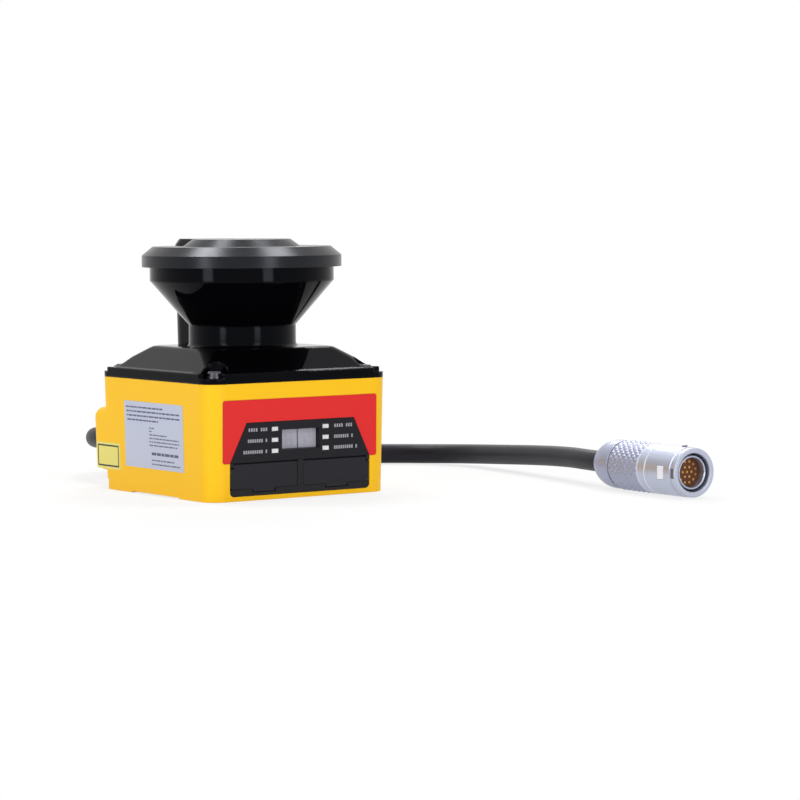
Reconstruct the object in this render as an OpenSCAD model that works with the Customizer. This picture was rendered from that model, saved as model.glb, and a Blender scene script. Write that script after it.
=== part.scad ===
// Compact safety laser scanner with a mushroom-shaped scanning head,
// a drafted square case and a short cable that ends in a push-pull plug.
// Origin: centre of the case's foot. +Z up, the display faces -Y.

/* [Case] */
// Side of the square case at its top edge
body_side = 80; // [78:0.5:90]
// Height of the case, floor to top edge
case_h = 43; // [42:0.5:48]
// Radius of the case's upright corners
corner_r = 6.6; // [5:0.2:8]
// How much narrower each side is at the foot, from the mould's draft
draft = 0.86; // [0.2:0.02:1.2]
// Thickness of the case's side walls at the foot
wall = 2.2; // [1.8:0.1:2.8]
// Thickness of the case's floor
floor_t = 2.6; // [2:0.1:3.4]
// Height of the shallow relief between the feet
relief_h = 0.5; // [0.2:0.1:1]
// Width of that relief
relief_w = 34; // [20:1:44]

/* [Fixing holes] */
// Distance between the fixing holes, left to right
mount_x = 62; // [58:0.5:64]
// Distance between the fixing holes, front to back
mount_y = 44; // [38:0.5:46]
// Radius of each fixing hole
mount_r = 2.1; // [1.6:0.05:2.6]
// Depth of each fixing hole
mount_depth = 8; // [6:0.5:9]

/* [Rear hump] */
// How far the hump stands out behind the case
hump_out = 7; // [6:0.25:9]
// Height at which the hump starts
hump_low = 4.2; // [3:0.2:6]
// Height of the hump's top
hump_high = 31; // [29:0.5:33]
// Radius of the hump's top rear edge
hump_r = 4.5; // [3:0.25:6]
// Radius of the hump's rear corners, round which its edges roll
hump_corner_r = 4; // [2.5:0.25:4.5]
// Thickness of the screwed rear cover
rear_cover_t = 3.9; // [3.5:0.1:4.2]

/* [Front panel] */
// Half width of the zone that holds the two port covers
zone_half = 30.9; // [30:0.1:31.5]
// Height of the zone's lower edge
zone_low = 1.7; // [1.2:0.1:2.2]
// Height of the line between the port covers and the display
zone_mid = 14; // [13.6:0.1:15]
// Height of the display lens's top edge
lens_high = 28.7; // [28:0.1:31]
// Half width of the display lens's top edge
lens_top_half = 23.7; // [22.5:0.1:25]
// Thickness of the display lens
lens_t = 1; // [0.7:0.1:1.3]
// Half width of the coloured overlay
overlay_half = 34; // [33:0.1:34.5]
// Height of the overlay's top edge
overlay_high = 37.1; // [35:0.1:38.5]
// Thickness of the overlay
overlay_t = 0.35; // [0.2:0.05:0.5]
// Half width of the bar between the port covers
bar_half = 1.33; // [1.2:0.05:1.6]
// Thickness of a port cover
cover_t = 1.4; // [1.2:0.1:1.6]
// Width of a port cover's pull tab
tab_w = 9.8; // [7:0.1:11]
// Sideways place of a port and of its cover's tab
port_x = 16; // [14.5:0.1:17]
// Half width of the digit display
digits_half = 8.2; // [7:0.1:8.6]
// Height of the digit display's face
digits_h = 7.1; // [6:0.1:7.6]
// Sideways place of the indicator lights
led_x = 11.2; // [10.6:0.1:12]
// Distance between the indicator lights, up and down
led_pitch = 4.05; // [3.6:0.05:4.3]
// Height of the middle indicator lights
led_mid = 21.8; // [21.4:0.1:22.2]

/* [Optical window] */
// Thickness of the window's square flange
flange_t = 3.8; // [3.4:0.1:4.4]
// How far the roof's foot is set in from the flange's edge
roof_in = 2.7; // [2:0.1:3.5]
// Height of the flat top of the roof above the case
roof_h = 11.8; // [11:0.1:12.6]
// Wall thickness of the window moulding
window_t = 2; // [1.6:0.1:2.2]
// Radius of the neck
neck_r = 20.3; // [19.8:0.1:21]
// Height of the neck above the roof
neck_h = 7.95; // [7.5:0.05:9.5]
// Radius of the head's upper cylinder
head_r = 34.8; // [34.2:0.1:35.4]
// Height of the cone between the neck and the upper cylinder
cone_h = 16.75; // [16:0.05:18]
// Visible height of the upper cylinder
rim_h = 5.2; // [4.8:0.1:6.5]

/* [Top cap] */
// How far the cap stands out past the window's rim
cap_over = 2.9; // [2.2:0.1:3.6]
// Height of the cap's upright edge
cap_edge = 4.3; // [3.8:0.1:5]
// Height of the chamfer above it
cap_chamfer = 3.3; // [2.8:0.1:3.8]
// Width of the chamfer, seen from above
cap_slope = 4; // [3.2:0.1:5]
// Width of the flat ring round the raised disc
cap_ring = 11.45; // [10:0.05:13]
// Width of the raised disc's chamfer, seen from above
disc_slope = 3.75; // [2.5:0.05:4.5]
// Height of the raised disc
disc_h = 2.7; // [2.2:0.1:3.2]

/* [Rear column] */
// Radius of the column's rounded back at mid height
column_r = 10.4; // [9.8:0.1:10.8]
// How far that radius's centre lies inside the window's rim
column_in = 7.25; // [7:0.05:8.5]
// Wall thickness of the column
column_t = 1.8; // [1.4:0.1:2]

/* [Scanning rotor] */
// Radius of the hollow shaft, outside
shaft_r = 8.45; // [8.3:0.05:8.5]
// Radius of the hollow shaft's bore
shaft_bore_r = 7.5; // [6.5:0.1:7.7]
// Outer radius of the ball bearings
bearing_r = 11.5; // [11:0.1:11.8]
// Width of one ball bearing
bearing_w = 3.7; // [3.2:0.1:3.7]
// Outer radius of the stator
stator_r = 18.4; // [17.6:0.1:18.5]
// Radius of the mirror hub
hub_r = 12.5; // [11:0.1:13.5]

/* [Plug and cable] */
// Radius of the cable
cable_r = 4; // [3.6:0.1:4.1]
// Length of the plug
plug_len = 56.6; // [56:0.1:60]
// Radius of the plug's sliding sleeve
sleeve_r = 9.45; // [9.35:0.05:9.8]
// Radius of the plug's front ring
plug_front_r = 9.07; // [8.9:0.01:9.3]
// Travel of the sliding sleeve
sleeve_travel = 1.2; // [0.8:0.1:1.5]

/* [Hidden] */
$fn = 72;

// ---- general clearances -------------------------------------------------
fit = 0.1;        // clearance round a piece that drops into a recess
thread_gap = 0.05; // clearance round a screw's shank
run_gap = 0.05;    // running clearance of the shaft in its bearings
air_gap = 0.5;     // gap between the magnets and the stator
eps = 0.01;        // overrun of a cutter past the face that it opens

// ---- case ---------------------------------------------------------------
half = body_side / 2;
foot_half = half - draft;
tilt = atan(draft / case_h);
cavity_half = foot_half - wall;
cavity_r = 4;
screw_in = 6.8;                   // from a side to the corner screw's axis
screw_at = half - screw_in;
screw_post_r = 3.4;
rebate_w = 1.4;                   // seat of the window gasket
gasket_t = 0.8;
mount_boss_r = 4.6;
mount_boss_h = mount_depth + floor_t;
hump_back = foot_half + hump_out;
seam_y = hump_back + draft * hump_high / case_h - rear_cover_t;
hump_wall_y = half + 0.2;         // rear face of the case's back wall
hump_floor = hump_low + 5.3;
hump_ceiling = hump_high - 2.6;
hump_cavity_half = foot_half - 5.2;
rear_inner_y = seam_y + 2;        // inner face of the rear cover
rear_screw_x = hump_cavity_half - 2.4;
rear_screw_z = [hump_floor + 2.4, hump_ceiling - 2.4];
rear_boss_r = 3;
rear_screw_r = 1.25;
rear_head_r = 2.4;
rear_seat_y = hump_back - 1.6;    // where the heads of the rear screws seat
board_mid_x = 9;                  // middle of the rear connector and its board
memory_half = rear_screw_x - rear_boss_r - 1.54 - board_mid_x;
passage_half = 13;
passage_z = [hump_floor + 2.5, hump_ceiling - 3.4];

// ---- chassis and its posts ----------------------------------------------
chassis_z = case_h - 7;
chassis_t = 3;
chassis_top = chassis_z + chassis_t;
post_r = 3.2;
post_x = cavity_half - post_r - 0.3;
post_y = 14;
post_screw_r = 1.45;
chassis_half = cavity_half - 9.94;
chassis_r = 5;

// ---- boards -------------------------------------------------------------
board_t = 1.6;
board_half_x = cavity_half - 7.94;
power_z = mount_boss_h;
main_z = power_z + board_t + 7.8;
panel_back_y = -(foot_half - 11.1);
board_front = panel_back_y + board_t + 1.44;
spacer_r = 2.5;
spacer_x = board_half_x - 4;
spacer_y = -board_front - 5;
spacer_bore = 1.1;
board_screw_r = 1.05;

// ---- front panel --------------------------------------------------------
panel_lip_t = 1.6;
panel_lip = 1.7;
lip_half = min(zone_half - 1.4, screw_at - screw_post_r - 0.3);
panel_screw_x = zone_half - 5.4;
display_half_x = panel_screw_x + 3.5;
panel_screw_z = zone_mid + 3;
zone_r = 1.8;
overlay_sink = 0.1;
cover_sink = 0.2;
hinge_v = zone_mid - 1;
hinge_w = -cover_sink - cover_t / 2;
cover_low = 4.4;
tab_low = 3.2;
cover_inner = bar_half + 0.17;
cover_outer = zone_half - 0.3;
cheek = 1.5;
shoulder = 1.1;                   // from the hinge's axis down to a cover's shoulder
pin_r = 0.45;
pin_hole_r = 0.5;
pin_len = 0.7;
port_v = 8.6;
ledge_w = -cover_sink - cover_t - 0.05;
recess_half = 6.6;
recess_h = 7;
recess_d = 4.8;
port_face_w = ledge_w - recess_d;
port_face_y = -(foot_half + port_face_w);
led_w = 2.9;
led_h = 1.55;
led_end_y = -foot_half - 0.02;
digits_y = -foot_half + 2;            // the figures lie well behind the lens
digits_z = led_mid - 0.05;

// ---- optical window -----------------------------------------------------
flange_top = case_h + flange_t;
roof_half = half - roof_in;
roof_top = case_h + roof_h;
pad_top = case_h + 2.1;
roof_r = 6;
pocket_r = 4.5;
edge_break = 0.35;
// half side and height above the flange of each step of the roof
roof_steps = [[roof_half, 0], [neck_r + 6.6, roof_h - flange_t - 0.95],
              [neck_r + 5.5, roof_h - flange_t - 0.28], [neck_r + 4, roof_h - flange_t]];
cone_low = roof_top + neck_h;
cone_top = cone_low + cone_h;
cap_low = cone_top + rim_h;
rim_top = cap_low + 1.5;
ledge_z = cap_low - 1.2;
ledge_r = head_r - window_t;
neck_in = neck_r - window_t;
neck_fillet = 1.4;

// ---- head ---------------------------------------------------------------
cap_r = head_r + cap_over;
cap_flat_r = cap_r - cap_slope;
disc_foot_r = cap_flat_r - cap_ring;
disc_top_r = disc_foot_r - disc_slope;
column_y = head_r - column_in;
head_board_r = ledge_r - 5.3;
cap_mid = cap_low + cap_edge;
cap_flat_z = cap_mid + cap_chamfer;
head_top = cap_flat_z + disc_h;
cap_wall = 2.2;
cap_gasket_t = 0.8;
column_flare = 0.4;               // the column is this much wider at its top than at mid height
column_foot_z = flange_top - 1;
column_chamfer = 2.3;
column_front = neck_r + fit;
duct_top = cap_flat_z;
board_z = rim_top + 1.8;
frame_t = rim_top - ledge_z;

// ---- rotor --------------------------------------------------------------
bearing_z = chassis_top + 2.5;
spacer_ring_t = 0.6;
bearing_top = bearing_z + 2 * bearing_w + spacer_ring_t;
tube_r = bearing_r + 1.9;
tube_top = bearing_top + 0.3;
stator_z = chassis_top + 4;
stator_h = 6;
magnet_in = stator_r + air_gap;
magnet_t = 1.4;
bell_in = magnet_in + magnet_t;
bell_r = bell_in + 1;
bell_z = stator_z + 0.5;
bell_top = roof_top - window_t - 0.5;
bell_disc_t = 1.3;
encoder_r = bell_r + 3.2;
encoder_t = 0.6;
hub_z = roof_top + 1.6;
hub_foot_t = 2;
hub_top = cone_top - 0.1;
mirror_t = 1.5;
laser_z = hub_top + 1.8;
laser_r = 4.5;
lens_r = 8.6;
barrel_r = 10;
barrel_low = chassis_z - 8;

// ---- cable and plug -----------------------------------------------------
gland_x = 13.94 - hump_cavity_half;
gland_z = 17;
gland_pad_y = hump_back + 1.2;
gland_end = gland_pad_y + 14.66;
gland_hole_r = 6;
// the cable's centreline, from the gland to the plug, lying down on the floor
laid = [
    [-20, 62, 17], [-20, 70, 16.8], [-19, 76.5, 16.4], [-17, 82.4, 15.8], [-13.4, 88.4, 15.1],
    [-8.6, 93.4, 14.3], [-2.8, 97.3, 13.3], [3.7, 99.8, 12.2], [11, 101, 11], [19, 101, 9.8],
    [29, 99.5, 8.4], [40, 96.5, 7.1], [52, 92, 5.9], [64, 86.5, 5], [76, 80.3, 4.4],
    [88, 73.4, 4.1], [101, 65.5, 4.1], [112, 57.5, 4.1], [120.5, 48, 4.2], [126, 36.5, 4.6],
    [127.8, 24, 5.2], [127, 10, 6], [125.4, -5, 6.9], [123.4, -20, 7.8], [121, -35, 8.6],
    [118.2, -50, 9.2], [115.3, -63, 9.4], [113.5, -73, 9.45],
];
// its first stretch follows the gland
route = [for (i = [0:len(laid) - 1])
    laid[i] + max(0, 1 - i / 14) * ([gland_x, gland_end, gland_z] - laid[0])];
cable_sides = 10;
plug_at = [112.9, -78.1, sleeve_r];
plug_yaw = 4;
cable_inset = 6;                  // how far the cable goes into the back nut
nut_len = 14;
nut_bore = cable_r + 0.15;
body_from = plug_len - 23.6;
inner_tube_r = 8.2;
sleeve_in = inner_tube_r + 0.3;
neck_of_nut_r = sleeve_in + 0.25;
neck_of_nut = 2.6;                // its length, inside the sleeve's rear end
mouth_r = 7.1;
mouth_depth = 12;
carrier_r = 6.3;
carrier_in = 5.5;
carrier_end = plug_len - 1.3;
insert_end = plug_len - 4.4;
contact_r = 0.45;

// ---- helpers ------------------------------------------------------------
function arc(c, r, a0, a1, n) = [for (i = [0:n]) c + r * [cos(a0 + (a1 - a0) * i / n), sin(a0 + (a1 - a0) * i / n)]];

// The outline of a square of half side h with corners of radius r
function square_pts(h, r, n) = [for (q = [0:3], i = [0:n])
    let (c = (h - r) * sqrt(2) * [cos(45 + 90 * q), sin(45 + 90 * q)], a = 90 * q + 90 * i / n)
    c + r * [cos(a), sin(a)]];

module rounded(h, r) { polygon(square_pts(h, r, 8)); }

// A solid through outlines of the same number of points, one above the other
module loft(outlines, heights) {
    n = len(outlines[0]);
    last = len(outlines) - 1;
    polyhedron(
        points = [for (i = [0:last], p = outlines[i]) [p[0], p[1], heights[i]]],
        faces = concat(
            [[for (k = [0:n - 1]) k]],
            [[for (k = [n - 1:-1:0]) last * n + k]],
            [for (i = [0:last - 1], k = [0:n - 1])
                [i * n + k, (i + 1) * n + k, (i + 1) * n + (k + 1) % n, i * n + (k + 1) % n]]),
        convexity = 4);
}

// A rectangle with corners of radius r
module rounded_rect(x0, x1, y0, y1, r) {
    polygon(concat(arc([x1 - r, y1 - r], r, 0, 90, 6), arc([x0 + r, y1 - r], r, 90, 180, 6),
                   arc([x0 + r, y0 + r], r, 180, 270, 6), arc([x1 - r, y0 + r], r, 270, 360, 6)));
}

// A box between two corners
module block(a, b) { translate(a) cube(b - a); }

// Children drawn on the drafted front face: x to the right, y up the face, z outwards
module on_front() { translate([0, -foot_half, 0]) rotate([90 + tilt, 0, 0]) children(); }

// Children drawn on an upright plane at the given y: x to the right, y up, z towards the front
module upright(y) { translate([0, y, 0]) rotate([90, 0, 0]) children(); }

// Children drawn in the plane of Y and Z, extruded over a width along X
module along_x(width) { rotate([90, 0, 90]) translate([0, 0, -width / 2]) linear_extrude(width) children(); }

// Children drawn along the plug's axis, z from its rear end to its mouth
module on_plug() { translate(plug_at) rotate([90, 0, -plug_yaw]) children(); }

module four(x, y) { for (sx = [-1, 1], sy = [-1, 1]) translate([sx * x, sy * y, 0]) children(); }

// ---- case ---------------------------------------------------------------
module case_outer() { linear_extrude(case_h, scale = half / foot_half) rounded(foot_half, corner_r); }

// The hump's outline seen from behind, made smaller by t: x, and height downwards
function hump_outline(t) =
    let (x = foot_half - t, z0 = hump_low + 2.4 + t, z1 = hump_high + 0.1 - t, r = hump_corner_r + 0.4 - t)
    [for (p = concat(arc([x - r, -z0 - r], r, 0, 90, 4), arc([r - x, -z0 - r], r, 90, 180, 4),
                     arc([r - x, r - z1], r, 180, 270, 4), arc([x - r, r - z1], r, 270, 360, 4)))
        [p[0] * (1 + (0.05 - draft * p[1] / case_h) / foot_half), p[1]]];

module hump_outer() {
    intersection() {
        linear_extrude(case_h, scale = half / foot_half)
            rounded_rect(-foot_half, foot_half, 0, hump_back, 5);
        // its edges roll round the corners
        union() {
            rotate([-90, 0, 0]) loft(
                concat([for (y = [1, 2]) hump_outline(0)],
                       [for (a = [18:18:90]) hump_outline(hump_corner_r * (1 - cos(a)))]),
                concat([half - 6, hump_back + 0.05 - hump_corner_r],
                       [for (a = [18:18:90]) hump_back + 0.05 - hump_corner_r * (1 - sin(a))]));
            block([-half - 1, 0, 0], [half + 1, half - 5, case_h]);
        }
        along_x(3 * half) polygon(concat(
            [[10, hump_low], [foot_half - 4, hump_low], [hump_back + 2, hump_low + 4.4]],
            arc([hump_back + 0.4 - hump_r, hump_high - hump_r], hump_r, 0, 90, 6),
            [[10, hump_high]]));
    }
}

// The opening of the front panel, drawn on the front face, made smaller by c all round
module panel_outline(c) {
    r = max(zone_r - c, 0.3);
    polygon(concat(
        arc([-zone_half + c + r, zone_low + c + r], r, 180, 270, 5),
        arc([zone_half - c - r, zone_low + c + r], r, 270, 360, 5),
        [[zone_half - c, zone_mid], [lens_top_half - c, lens_high - c],
         [-lens_top_half + c, lens_high - c], [-zone_half + c, zone_mid]]));
}

module case() {
    color([0.98, 0.74, 0.10]) difference() {
        union() {
            difference() {
                union() {
                    case_outer();
                    difference() {
                        hump_outer();
                        block([-2 * half, seam_y, 0], [2 * half, 2 * half, case_h]);
                    }
                }
                // the main cavity, and the shallow one in the hump
                translate([0, 0, floor_t]) linear_extrude(case_h) rounded(cavity_half, cavity_r);
                block([-hump_cavity_half, hump_wall_y, hump_floor], [hump_cavity_half, seam_y + 1, hump_ceiling]);
            }
            intersection() {
                union() {
                    // corner posts for the window's screws
                    four(screw_at, screw_at) cylinder(h = case_h - gasket_t, r = screw_post_r);
                    for (a = [0:90:270]) rotate([0, 0, a])
                        block([screw_at, screw_at, 1], [half, half, case_h - gasket_t]);
                }
                case_outer();
            }
            four(screw_at, screw_at) translate([0, 0, floor_t - 1]) cylinder(h = case_h - floor_t + 1, r = screw_post_r);
            // bosses of the fixing holes
            four(mount_x / 2, mount_y / 2) translate([0, 0, 1]) cylinder(h = mount_boss_h - 1, r = mount_boss_r);
            // posts that carry the chassis, joined to the side walls
            four(post_x, post_y) translate([0, 0, 1]) cylinder(h = chassis_z - 1, r = post_r);
            for (sx = [-1, 1], sy = [-1, 1]) {
                x0 = sx > 0 ? post_x : -cavity_half - 0.6;
                block([x0, sy * post_y - 1.5, 1], [x0 + cavity_half - post_x + 0.6, sy * post_y + 1.5, chassis_z]);
            }
            // bosses of the rear cover's screws
            for (sx = [-1, 1], z = rear_screw_z)
                translate([sx * rear_screw_x, hump_wall_y - 1, z]) rotate([-90, 0, 0])
                    cylinder(h = seam_y - hump_wall_y + 1, r = rear_boss_r);
        }
        // relief between the feet
        block([-2 * half, -relief_w / 2, -1], [2 * half, relief_w / 2, relief_h]);
        four(mount_x / 2, mount_y / 2) translate([0, 0, -eps]) cylinder(h = mount_depth + eps, r = mount_r);
        four(screw_at, screw_at) translate([0, 0, case_h - 12]) cylinder(h = 13, r = 1.5);
        four(post_x, post_y) translate([0, 0, chassis_z - 8]) cylinder(h = 9, r = post_screw_r + thread_gap);
        for (sx = [-1, 1], z = rear_screw_z)
            translate([sx * rear_screw_x, cavity_half + 0.8, z]) rotate([-90, 0, 0])
                cylinder(h = 20, r = rear_screw_r + thread_gap);
        // seat of the window gasket
        translate([0, 0, case_h - gasket_t]) linear_extrude(2) difference() {
            rounded(cavity_half + rebate_w, cavity_r + rebate_w);
            rounded(cavity_half, cavity_r);
        }
        // passage of the rear connector, and the groove of the rear gasket
        block([board_mid_x - passage_half, cavity_half - 1, passage_z[0]],
              [board_mid_x + passage_half, hump_wall_y + 1, passage_z[1]]);
        rear_ring(0.9, fit / 2);
        // opening of the front panel, and the recess of the overlay
        intersection() {
            on_front() translate([0, 0, -14]) linear_extrude(16) panel_outline(0);
            block([-half, -2 * half, 0], [half, panel_back_y, case_h]);
        }
        on_front() translate([0, 0, -overlay_sink - overlay_t])
            linear_extrude(2) rounded_rect(-overlay_half, overlay_half, zone_mid - 0.1, overlay_high, 1);
    }
}

// The ring between the case and the rear cover, of the given depth into the case
module rear_ring(depth, grow) {
    x = hump_cavity_half + 1.2;
    z0 = hump_floor - 1.1;
    z1 = hump_ceiling + 1;
    translate([0, seam_y + eps, 0]) rotate([90, 0, 0]) linear_extrude(depth + eps) difference() {
        rounded_rect(-x - grow, x + grow, z0 - grow, z1 + grow, 1);
        rounded_rect(-x + 0.9 + grow, x - 0.9 - grow, z0 + 0.9 + grow, z1 - 0.9 - grow, 0.5);
    }
}

module rear_gasket() {
    color([0.08, 0.08, 0.08]) difference() {
        rear_ring(0.9, 0);
        block([-half, seam_y, 0], [half, 2 * half, case_h]);
    }
}

module rear_cover() {
    color([0.98, 0.74, 0.10]) difference() {
        union() {
            difference() {
                intersection() {
                    hump_outer();
                    block([-2 * half, seam_y, 0], [2 * half, 2 * half, case_h]);
                }
                block([-hump_cavity_half, seam_y - 1, hump_floor], [hump_cavity_half, rear_inner_y, hump_ceiling]);
            }
            // flat pad of the gland
            translate([gland_x, rear_inner_y, gland_z]) rotate([-90, 0, 0])
                cylinder(h = gland_pad_y - rear_inner_y, r = 8.6);
            for (sx = [-1, 1], z = rear_screw_z)
                translate([sx * rear_screw_x, seam_y, z]) rotate([-90, 0, 0])
                    cylinder(h = rear_inner_y - seam_y + 0.5, r = rear_boss_r);
            // pegs that the memory board rests on
            for (x = [board_mid_x - 15, board_mid_x + 15], z = [hump_floor + 3.5, hump_ceiling - 4])
                translate([x, seam_y, z]) rotate([-90, 0, 0]) cylinder(h = rear_inner_y - seam_y + 0.5, r = 1.6);
        }
        translate([gland_x, seam_y - 1, gland_z]) rotate([-90, 0, 0]) cylinder(h = 12, r = gland_hole_r);
        for (sx = [-1, 1], z = rear_screw_z) translate([sx * rear_screw_x, 0, z]) rotate([-90, 0, 0]) {
            cylinder(h = 2 * half, r = rear_screw_r + 0.15);
            translate([0, 0, rear_seat_y]) cylinder(h = 10, r = rear_head_r + 0.15);
        }
    }
}

module rear_cover_screws() {
    color([0.55, 0.55, 0.57]) for (sx = [-1, 1], z = rear_screw_z)
        translate([sx * rear_screw_x, 0, z]) rotate([-90, 0, 0]) difference() {
            union() {
                translate([0, 0, cavity_half + 1.2]) cylinder(h = rear_seat_y - cavity_half - 1.2, r = rear_screw_r);
                translate([0, 0, rear_seat_y]) cylinder(h = 1.4, r = rear_head_r);
            }
            translate([0, 0, rear_seat_y + 0.5]) cylinder(h = 2, r = 1, $fn = 6);
        }
}

// ---- front panel --------------------------------------------------------
// One side's pocket, seen from the front: s is -1 for the left, 1 for the right
module cover_pocket(s) {
    on_front() mirror([s < 0 ? 1 : 0, 0, 0]) {
        // the plate lies here
        translate([0, 0, ledge_w]) linear_extrude(6)
            polygon([[bar_half, cover_low - 0.12], [zone_half + 1, cover_low - 0.12],
                     [zone_half + 1, hinge_v - shoulder + 0.1],
                     [cover_outer - cheek + 0.15, hinge_v - shoulder + 0.1],
                     [cover_outer - cheek + 0.15, zone_mid + 0.05], [bar_half, zone_mid + 0.05]]);
        // room behind the barrel
        translate([bar_half, hinge_v - 1.6, ledge_w - 0.12])
            cube([cover_outer - cheek + 0.15 - bar_half, zone_mid + 0.05 - hinge_v + 1.6, 2]);
        // room for the cover's shoulder as it swings past the cheek
        translate([cover_outer - cheek - 0.05, 0, 0]) rotate([90, 0, 90]) linear_extrude(6) polygon([
            [hinge_v - 2, hinge_w], [hinge_v - shoulder + 0.1, hinge_w],
            [hinge_v - sqrt((shoulder - 0.1) ^ 2 - hinge_w ^ 2), 0],
            [hinge_v - sqrt((shoulder - 0.1) ^ 2 - hinge_w ^ 2), 3], [hinge_v - 2, 3]]);
        // notch of the pull tab
        translate([port_x - tab_w / 2 - 0.2, tab_low - 0.3, ledge_w]) cube([tab_w + 0.4, 2, 6]);
        // socket of the outer pin; the inner one goes through the bar
        translate([0, hinge_v, hinge_w]) rotate([0, 90, 0]) cylinder(h = zone_half - 0.45, r = pin_hole_r);
        // recess in front of the port, and the port's own hole
        translate([port_x - recess_half, port_v - recess_h / 2, port_face_w])
            cube([2 * recess_half, recess_h, recess_d + 1]);
    }
}

module front_panel() {
    color([0.15, 0.15, 0.17]) difference() {
        union() {
            intersection() {
                on_front() translate([0, 0, -14]) linear_extrude(14 - 0.15) panel_outline(fit);
                block([-half, -2 * half, 0], [half, panel_back_y - fit, case_h]);
            }
            // the lip that seats against the inside of the front wall
            intersection() {
                upright(-cavity_half + panel_lip_t) linear_extrude(panel_lip_t) panel_outline(-panel_lip);
                block([-lip_half, -half, floor_t + fit], [lip_half, half, case_h]);
            }
        }
        // seat of the display lens
        on_front() translate([-half, zone_mid, -lens_t - 0.05]) cube([body_side, case_h, 5]);
        for (s = [-1, 1]) cover_pocket(s);
        // hollow behind the display
        block([-21, -foot_half + 2.9, zone_mid + 1.8], [21, 0, lens_high - 1.6]);
        // holes of the digits and of the lights
        block([-digits_half - fit, -half - 1, digits_z - digits_h / 2 - fit],
              [digits_half + fit, 0, digits_z + digits_h / 2 + fit]);
        led_places() block([-led_w / 2 - fit, -half - 1, -led_h / 2 - fit], [led_w / 2 + fit, 0, led_h / 2 + fit]);
        // holes of the ports' bodies
        for (s = [-1, 1]) block([s * port_x - 5.6, port_face_y - 1, port_v - 3], [s * port_x + 5.6, 0, port_v + 3]);
        for (s = [-1, 1]) translate([s * panel_screw_x, panel_back_y - 6, panel_screw_z]) rotate([-90, 0, 0])
            cylinder(h = 8, r = board_screw_r + thread_gap);
    }
}

module led_places() { for (sx = [-1, 1], k = [-1:1]) translate([sx * led_x, 0, led_mid + k * led_pitch]) children(); }

module front_overlay() {
    color([0.86, 0.14, 0.16]) on_front() translate([0, 0, -overlay_sink - overlay_t]) linear_extrude(overlay_t)
        difference() {
            rounded_rect(-overlay_half + fit, overlay_half - fit, zone_mid, overlay_high - fit, 0.95);
            polygon([[-zone_half - 1, zone_mid - 1], [-zone_half, zone_mid], [-lens_top_half, lens_high],
                     [lens_top_half, lens_high], [zone_half, zone_mid], [zone_half + 1, zone_mid - 1]]);
        }
}

module display_lens() {
    k = (zone_half - lens_top_half) / (lens_high - zone_mid);
    low = zone_mid + 0.1;
    color([0.09, 0.09, 0.11]) difference() {
        on_front() translate([0, 0, -lens_t - 0.05]) linear_extrude(lens_t)
            polygon([[-zone_half + 0.1 * k + fit, low], [zone_half - 0.1 * k - fit, low],
                     [lens_top_half - fit, lens_high - fit], [-lens_top_half + fit, lens_high - fit]]);
        block([-digits_half - fit, -half - 1, digits_z - digits_h / 2 - fit],
              [digits_half + fit, 0, digits_z + digits_h / 2 + fit]);
        led_places() block([-led_w / 2 - fit, -half - 1, -led_h / 2 - fit], [led_w / 2 + fit, 0, led_h / 2 + fit]);
    }
}

module digit_display() {
    z0 = digits_z - digits_h / 2;
    color([0.62, 0.62, 0.66]) difference() {
        block([-digits_half, digits_y, z0], [digits_half, panel_back_y, z0 + digits_h]);
        block([-0.25, digits_y - 1, z0 - 1], [0.25, digits_y + 0.8, z0 + digits_h + 1]);
        // two figures of seven bars, sunk a little in the face
        for (sx = [-1, 1]) translate([sx * digits_half / 2, digits_y - 1, digits_z]) segments();
    }
}

module segments() {
    w = 3.2;
    h = 5.4;
    t = 0.6;
    for (k = [-1:1]) block([-w / 2 + t, 0, k * (h / 2 - t / 2) - t / 2], [w / 2 - t, 1.15, k * (h / 2 - t / 2) + t / 2]);
    for (sx = [-1, 1], sz = [-1, 1]) {
        x = sx * (w - t) / 2;
        z = sz * h / 4;
        block([x - t / 2, 0, z - h / 4 + 0.75 * t], [x + t / 2, 1.15, z + h / 4 - 0.75 * t]);
    }
}

module led_lenses() {
    color([0.92, 0.93, 0.95]) led_places()
        block([-led_w / 2, led_end_y, -led_h / 2], [led_w / 2, panel_back_y, led_h / 2]);
}

// A flip cover: s is -1 for the left, 1 for the right
module port_cover(s) {
    color([0.16, 0.16, 0.18]) on_front() mirror([s < 0 ? 1 : 0, 0, 0]) {
        translate([0, 0, -cover_sink - cover_t]) linear_extrude(cover_t) polygon([
            [cover_inner, cover_low], [port_x - tab_w / 2, cover_low], [port_x - tab_w / 2 + 0.3, tab_low],
            [port_x + tab_w / 2 - 0.3, tab_low], [port_x + tab_w / 2, cover_low],
            [cover_outer - 0.8, cover_low], [cover_outer, cover_low + 0.8], [cover_outer, hinge_v - shoulder],
            [cover_outer - cheek, hinge_v - shoulder], [cover_outer - cheek, hinge_v], [cover_inner, hinge_v]]);
        translate([cover_inner, hinge_v, hinge_w]) rotate([0, 90, 0])
            cylinder(h = cover_outer - cheek - cover_inner, r = cover_t / 2, $fn = 32);
        translate([cover_inner - pin_len, hinge_v, hinge_w]) rotate([0, 90, 0])
            cylinder(h = cover_outer - cheek - cover_inner + 2 * pin_len, r = pin_r, $fn = 32);
    }
}

module port_cover_left() { port_cover(-1); }
module port_cover_right() { port_cover(1); }

module usb_port() {
    color([0.72, 0.73, 0.75]) translate([-port_x, 0, port_v]) difference() {
        upright(panel_back_y) linear_extrude(-port_face_y + panel_back_y)
            polygon([[-3.85, 1.95], [3.85, 1.95], [3.85, -0.4], [2.9, -1.95], [-2.9, -1.95], [-3.85, -0.4]]);
        upright(port_face_y + 4) linear_extrude(5)
            polygon([[-3.4, 1.5], [3.4, 1.5], [3.4, -0.3], [2.6, -1.5], [-2.6, -1.5], [-3.4, -0.3]]);
    }
}

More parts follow.
